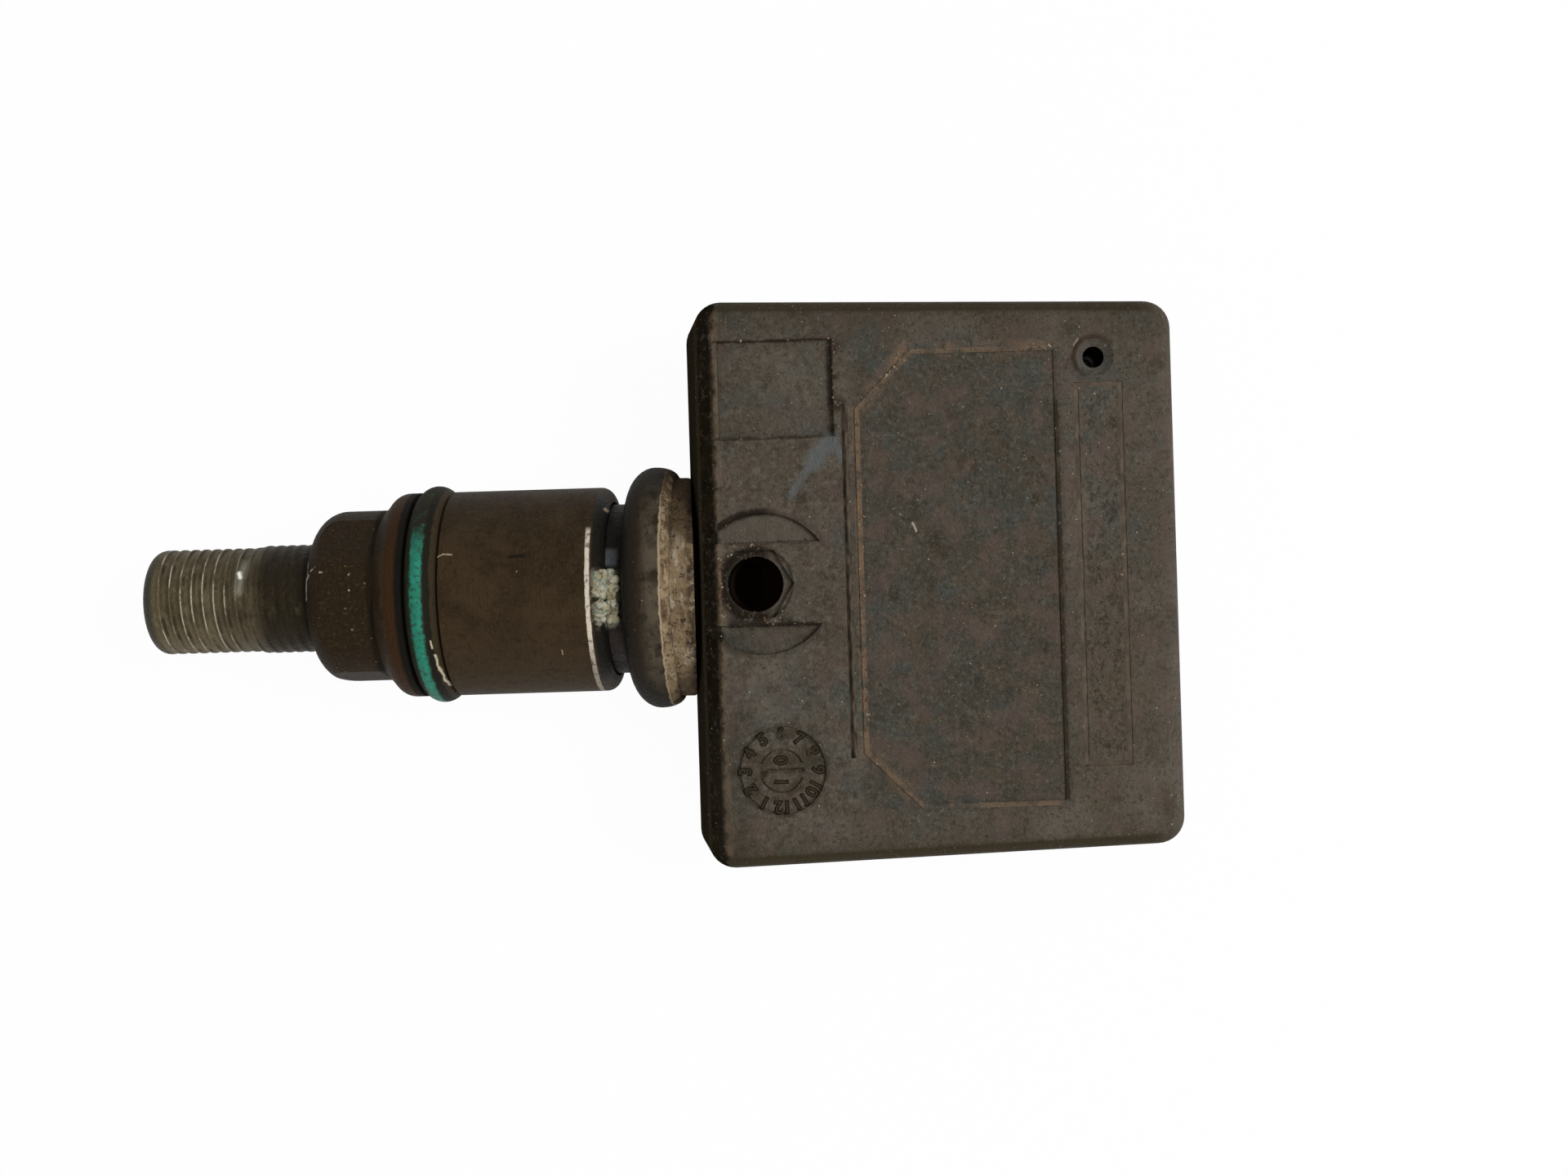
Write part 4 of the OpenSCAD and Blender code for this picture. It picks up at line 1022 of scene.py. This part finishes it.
def buildCrumbs():
    look = crumbLook
    chance = random.Random(look["seed"])
    source = nodes["housing"].data
    surface = BVHTree.FromPolygons([v.co for v in source.vertices],
                                   [p.vertices[:] for p in source.polygons])
    bm = bmesh.new()
    for start, end, number, spread in look["rows"]:
        for _ in range(number):
            along = chance.random()
            x = start[0] + (end[0] - start[0]) * along + chance.gauss(0, spread)
            y = start[1] + (end[1] - start[1]) * along + chance.gauss(0, spread)
            spot = surface.ray_cast(Vector((x, y, 20)) * mm, Vector((0, 0, -1)))[0]
            if spot is None or spot.z < look["lowest"] * mm:
                continue
            size = chance.uniform(*look["size"]) * mm
            turn = Matrix.Rotation(chance.uniform(0, math.tau), 4, "Z")
            shape = Matrix.Diagonal((size, size * chance.uniform(0.5, 1), size * look["flat"], 1))
            made = bmesh.ops.create_icosphere(bm, subdivisions=1, radius=1,
                                              matrix=Matrix.Translation(spot) @ turn @ shape)
            for v in made["verts"]:
                v.co += Vector([chance.gauss(0, wide) for wide in (0.12, 0.12, 0.06)]) * size
    for pack in look["packs"]:
        layDirt(bm, *pack)
    f = Finish("dried dirt", look, "brown", 0.9)
    f.coat("tan", 1, f.cloud(0.7, 0.46, 0.6, 3))
    packed = f.fade(f.z, look["top"] + 0.002, look["top"])
    f.coat("packed", 0.9, packed)
    f.coat("dark", 0.75, packed, f.fade(f.x, 16.2, 16.08))
    f.coat("dark", 0.45, packed, f.fade(f.x, 30, 31), f.cloud(0.7, 0.4, 0.6, 4, 6))
    f.grain(9.0, 0.03)
    newPiece("dirt_crumbs", bm, "sensor_unit", f.done())


buildCrumbs()
print("dirt laid")


# Finishes of the valve core and of what the housing holds
innerLooks = {  # colour, colour of the spots, roughness, metallic and height of the grain
    "base_cover": ((0.03, 0.026, 0.021), (0.06, 0.05, 0.038), 0.6, 0.0, 0.05),
    "potting": ((0.095, 0.1, 0.085), (0.13, 0.13, 0.11), 0.35, 0.0, 0.03),
    "circuit_board": ((0.012, 0.085, 0.03), (0.02, 0.13, 0.05), 0.4, 0.0, 0.01),
    "battery_cell": ((0.55, 0.55, 0.56), (0.38, 0.38, 0.38), 0.25, 1.0, 0.01),
    "battery_tab_top": ((0.6, 0.57, 0.48), (0.42, 0.4, 0.34), 0.3, 1.0, 0.01),
    "battery_tab_bottom": ((0.6, 0.57, 0.48), (0.42, 0.4, 0.34), 0.3, 1.0, 0.01),
    "pressure_sensor": ((0.12, 0.12, 0.11), (0.07, 0.065, 0.06), 0.5, 1.0, 0.01),
    "port_seal": ((0.008, 0.008, 0.008), (0.016, 0.014, 0.012), 0.85, 0.0, 0.01),
    "controller_chip": ((0.015, 0.015, 0.016), (0.028, 0.028, 0.03), 0.55, 0.0, 0.01),
    "crystal": ((0.62, 0.62, 0.6), (0.48, 0.47, 0.45), 0.25, 1.0, 0.01),
    "antenna_loop": ((0.72, 0.36, 0.16), (0.45, 0.22, 0.12), 0.3, 1.0, 0.01),
    "receiver_core": ((0.05, 0.048, 0.05), (0.08, 0.075, 0.075), 0.6, 0.0, 0.01),
    "receiver_winding": ((0.6, 0.22, 0.08), (0.4, 0.14, 0.06), 0.35, 0.9, 0.01),
    "chip_parts": ((0.3, 0.22, 0.13), (0.16, 0.12, 0.08), 0.5, 0.0, 0.01),
    "motion_switch": ((0.55, 0.5, 0.34), (0.36, 0.32, 0.22), 0.3, 1.0, 0.01),
    "core_body": ((0.5, 0.36, 0.14), (0.16, 0.12, 0.06), 0.4, 0.9, 0.01),
    "core_seal": ((0.62, 0.6, 0.52), (0.4, 0.37, 0.3), 0.5, 0.0, 0.01),
    "core_pin": ((0.52, 0.4, 0.2), (0.2, 0.15, 0.08), 0.35, 0.9, 0.01),
    "core_cup": ((0.015, 0.015, 0.015), (0.03, 0.028, 0.025), 0.65, 0.0, 0.01),
}

for name, (colour, spots, roughness, metallic, grain) in innerLooks.items():
    f = Finish(name.replace("_", " "), {"plain": colour, "spots": spots}, "plain", roughness, metallic)
    f.coat("spots", 1, f.cloud(1.2, 0.45, 0.66, 4), rough=min(0.9, roughness + 0.2))
    f.grain(5.0, grain)
    wear(nodes[name], f.done())
print("inner pieces painted")


# White floor, soft light from the right, from above and from the near side, and the camera
studioLook = {
    "floorSize": 6.0,
    "floorColour": (0.62, 0.62, 0.62),
    "floorGlow": 0.97,  # share of the floor's white that no shadow reaches
    "sky": 0.3,
}
lampLooks = {
    "key": {"place": (0.26, 0.03, 0.38), "size": 0.22, "power": 2.0},
    "top": {"place": (0.0, 0.06, 0.55), "size": 0.50, "power": 0.75},
    "fill": {"place": (-0.10, -0.42, 0.18), "size": 0.36, "power": 0.42},
}
cameraLook = {
    "place": (17.3, -0.5, 131.0),
    "turn": -1.75,
    "lens": 40.5,
    "sensor": 36.0,
    "shift": -0.052,
}


def shownRays(tree):
    rays = addNode(tree, "LightPath").outputs
    total = rays["Is Camera Ray"]
    for name in ("Is Glossy Ray", "Is Transmission Ray"):
        total = addNode(tree, "Math", {0: total, 1: rays[name]}, operation="MAXIMUM").outputs[0]
    return total


def buildFloor():
    look = studioLook
    bm = bmesh.new()
    bmesh.ops.create_grid(bm, x_segments=1, y_segments=1, size=look["floorSize"] / 2)
    bmesh.ops.translate(bm, verts=bm.verts, vec=(0, 0, cadBox[0].z))
    material = bpy.data.materials.new("white floor")
    material.use_nodes = True
    tree = material.node_tree
    paint = tree.nodes["Principled BSDF"]
    paint.inputs["Base Color"].default_value = (*look["floorColour"], 1)
    paint.inputs["Roughness"].default_value = 0.9
    glow = addNode(tree, "Emission")
    amount = addNode(tree, "Math", {0: shownRays(tree), 1: look["floorGlow"]}, operation="MULTIPLY")
    mixed = addNode(tree, "MixShader", {0: amount.outputs[0], 1: paint.outputs[0], 2: glow.outputs[0]})
    tree.links.new(mixed.outputs[0], tree.nodes["Material Output"].inputs["Surface"])
    floor = place("studio_floor", bm, material)


def buildSky():
    world = bpy.data.worlds.new("studio")
    bpy.context.scene.world = world
    world.use_nodes = True
    tree = world.node_tree
    lit = tree.nodes["Background"]
    lit.inputs["Color"].default_value = (1, 1, 1, 1)
    lit.inputs["Strength"].default_value = studioLook["sky"]
    seen = addNode(tree, "Background")
    rays = addNode(tree, "LightPath").outputs
    mixed = addNode(tree, "MixShader", {0: rays["Is Camera Ray"], 1: lit.outputs[0], 2: seen.outputs[0]})
    tree.links.new(mixed.outputs[0], tree.nodes["World Output"].inputs["Surface"])


def buildLamps():
    middle = (cadBox[0] + cadBox[1]) / 2
    for name, look in lampLooks.items():
        light = bpy.data.lights.new(name, "AREA")
        light.shape = "DISK"
        light.size = look["size"]
        light.energy = look["power"]
        lamp = bpy.data.objects.new(name, light)
        lamp.location = look["place"]
        lamp.rotation_euler = (middle - lamp.location).to_track_quat("-Z", "Y").to_euler()
        bpy.context.scene.collection.objects.link(lamp)


def buildCamera():
    look = cameraLook
    camera = bpy.data.objects.new("camera", bpy.data.cameras.new("camera"))
    camera.data.sensor_width = look["sensor"]
    camera.data.lens = look["lens"]
    camera.data.shift_x = look["shift"]
    camera.data.clip_start = 0.005
    camera.location = Vector(look["place"]) * mm
    camera.rotation_euler = (0, 0, math.radians(look["turn"]))
    bpy.context.scene.collection.objects.link(camera)
    bpy.context.scene.camera = camera


buildFloor()
buildSky()
buildLamps()
buildCamera()
print("studio set")
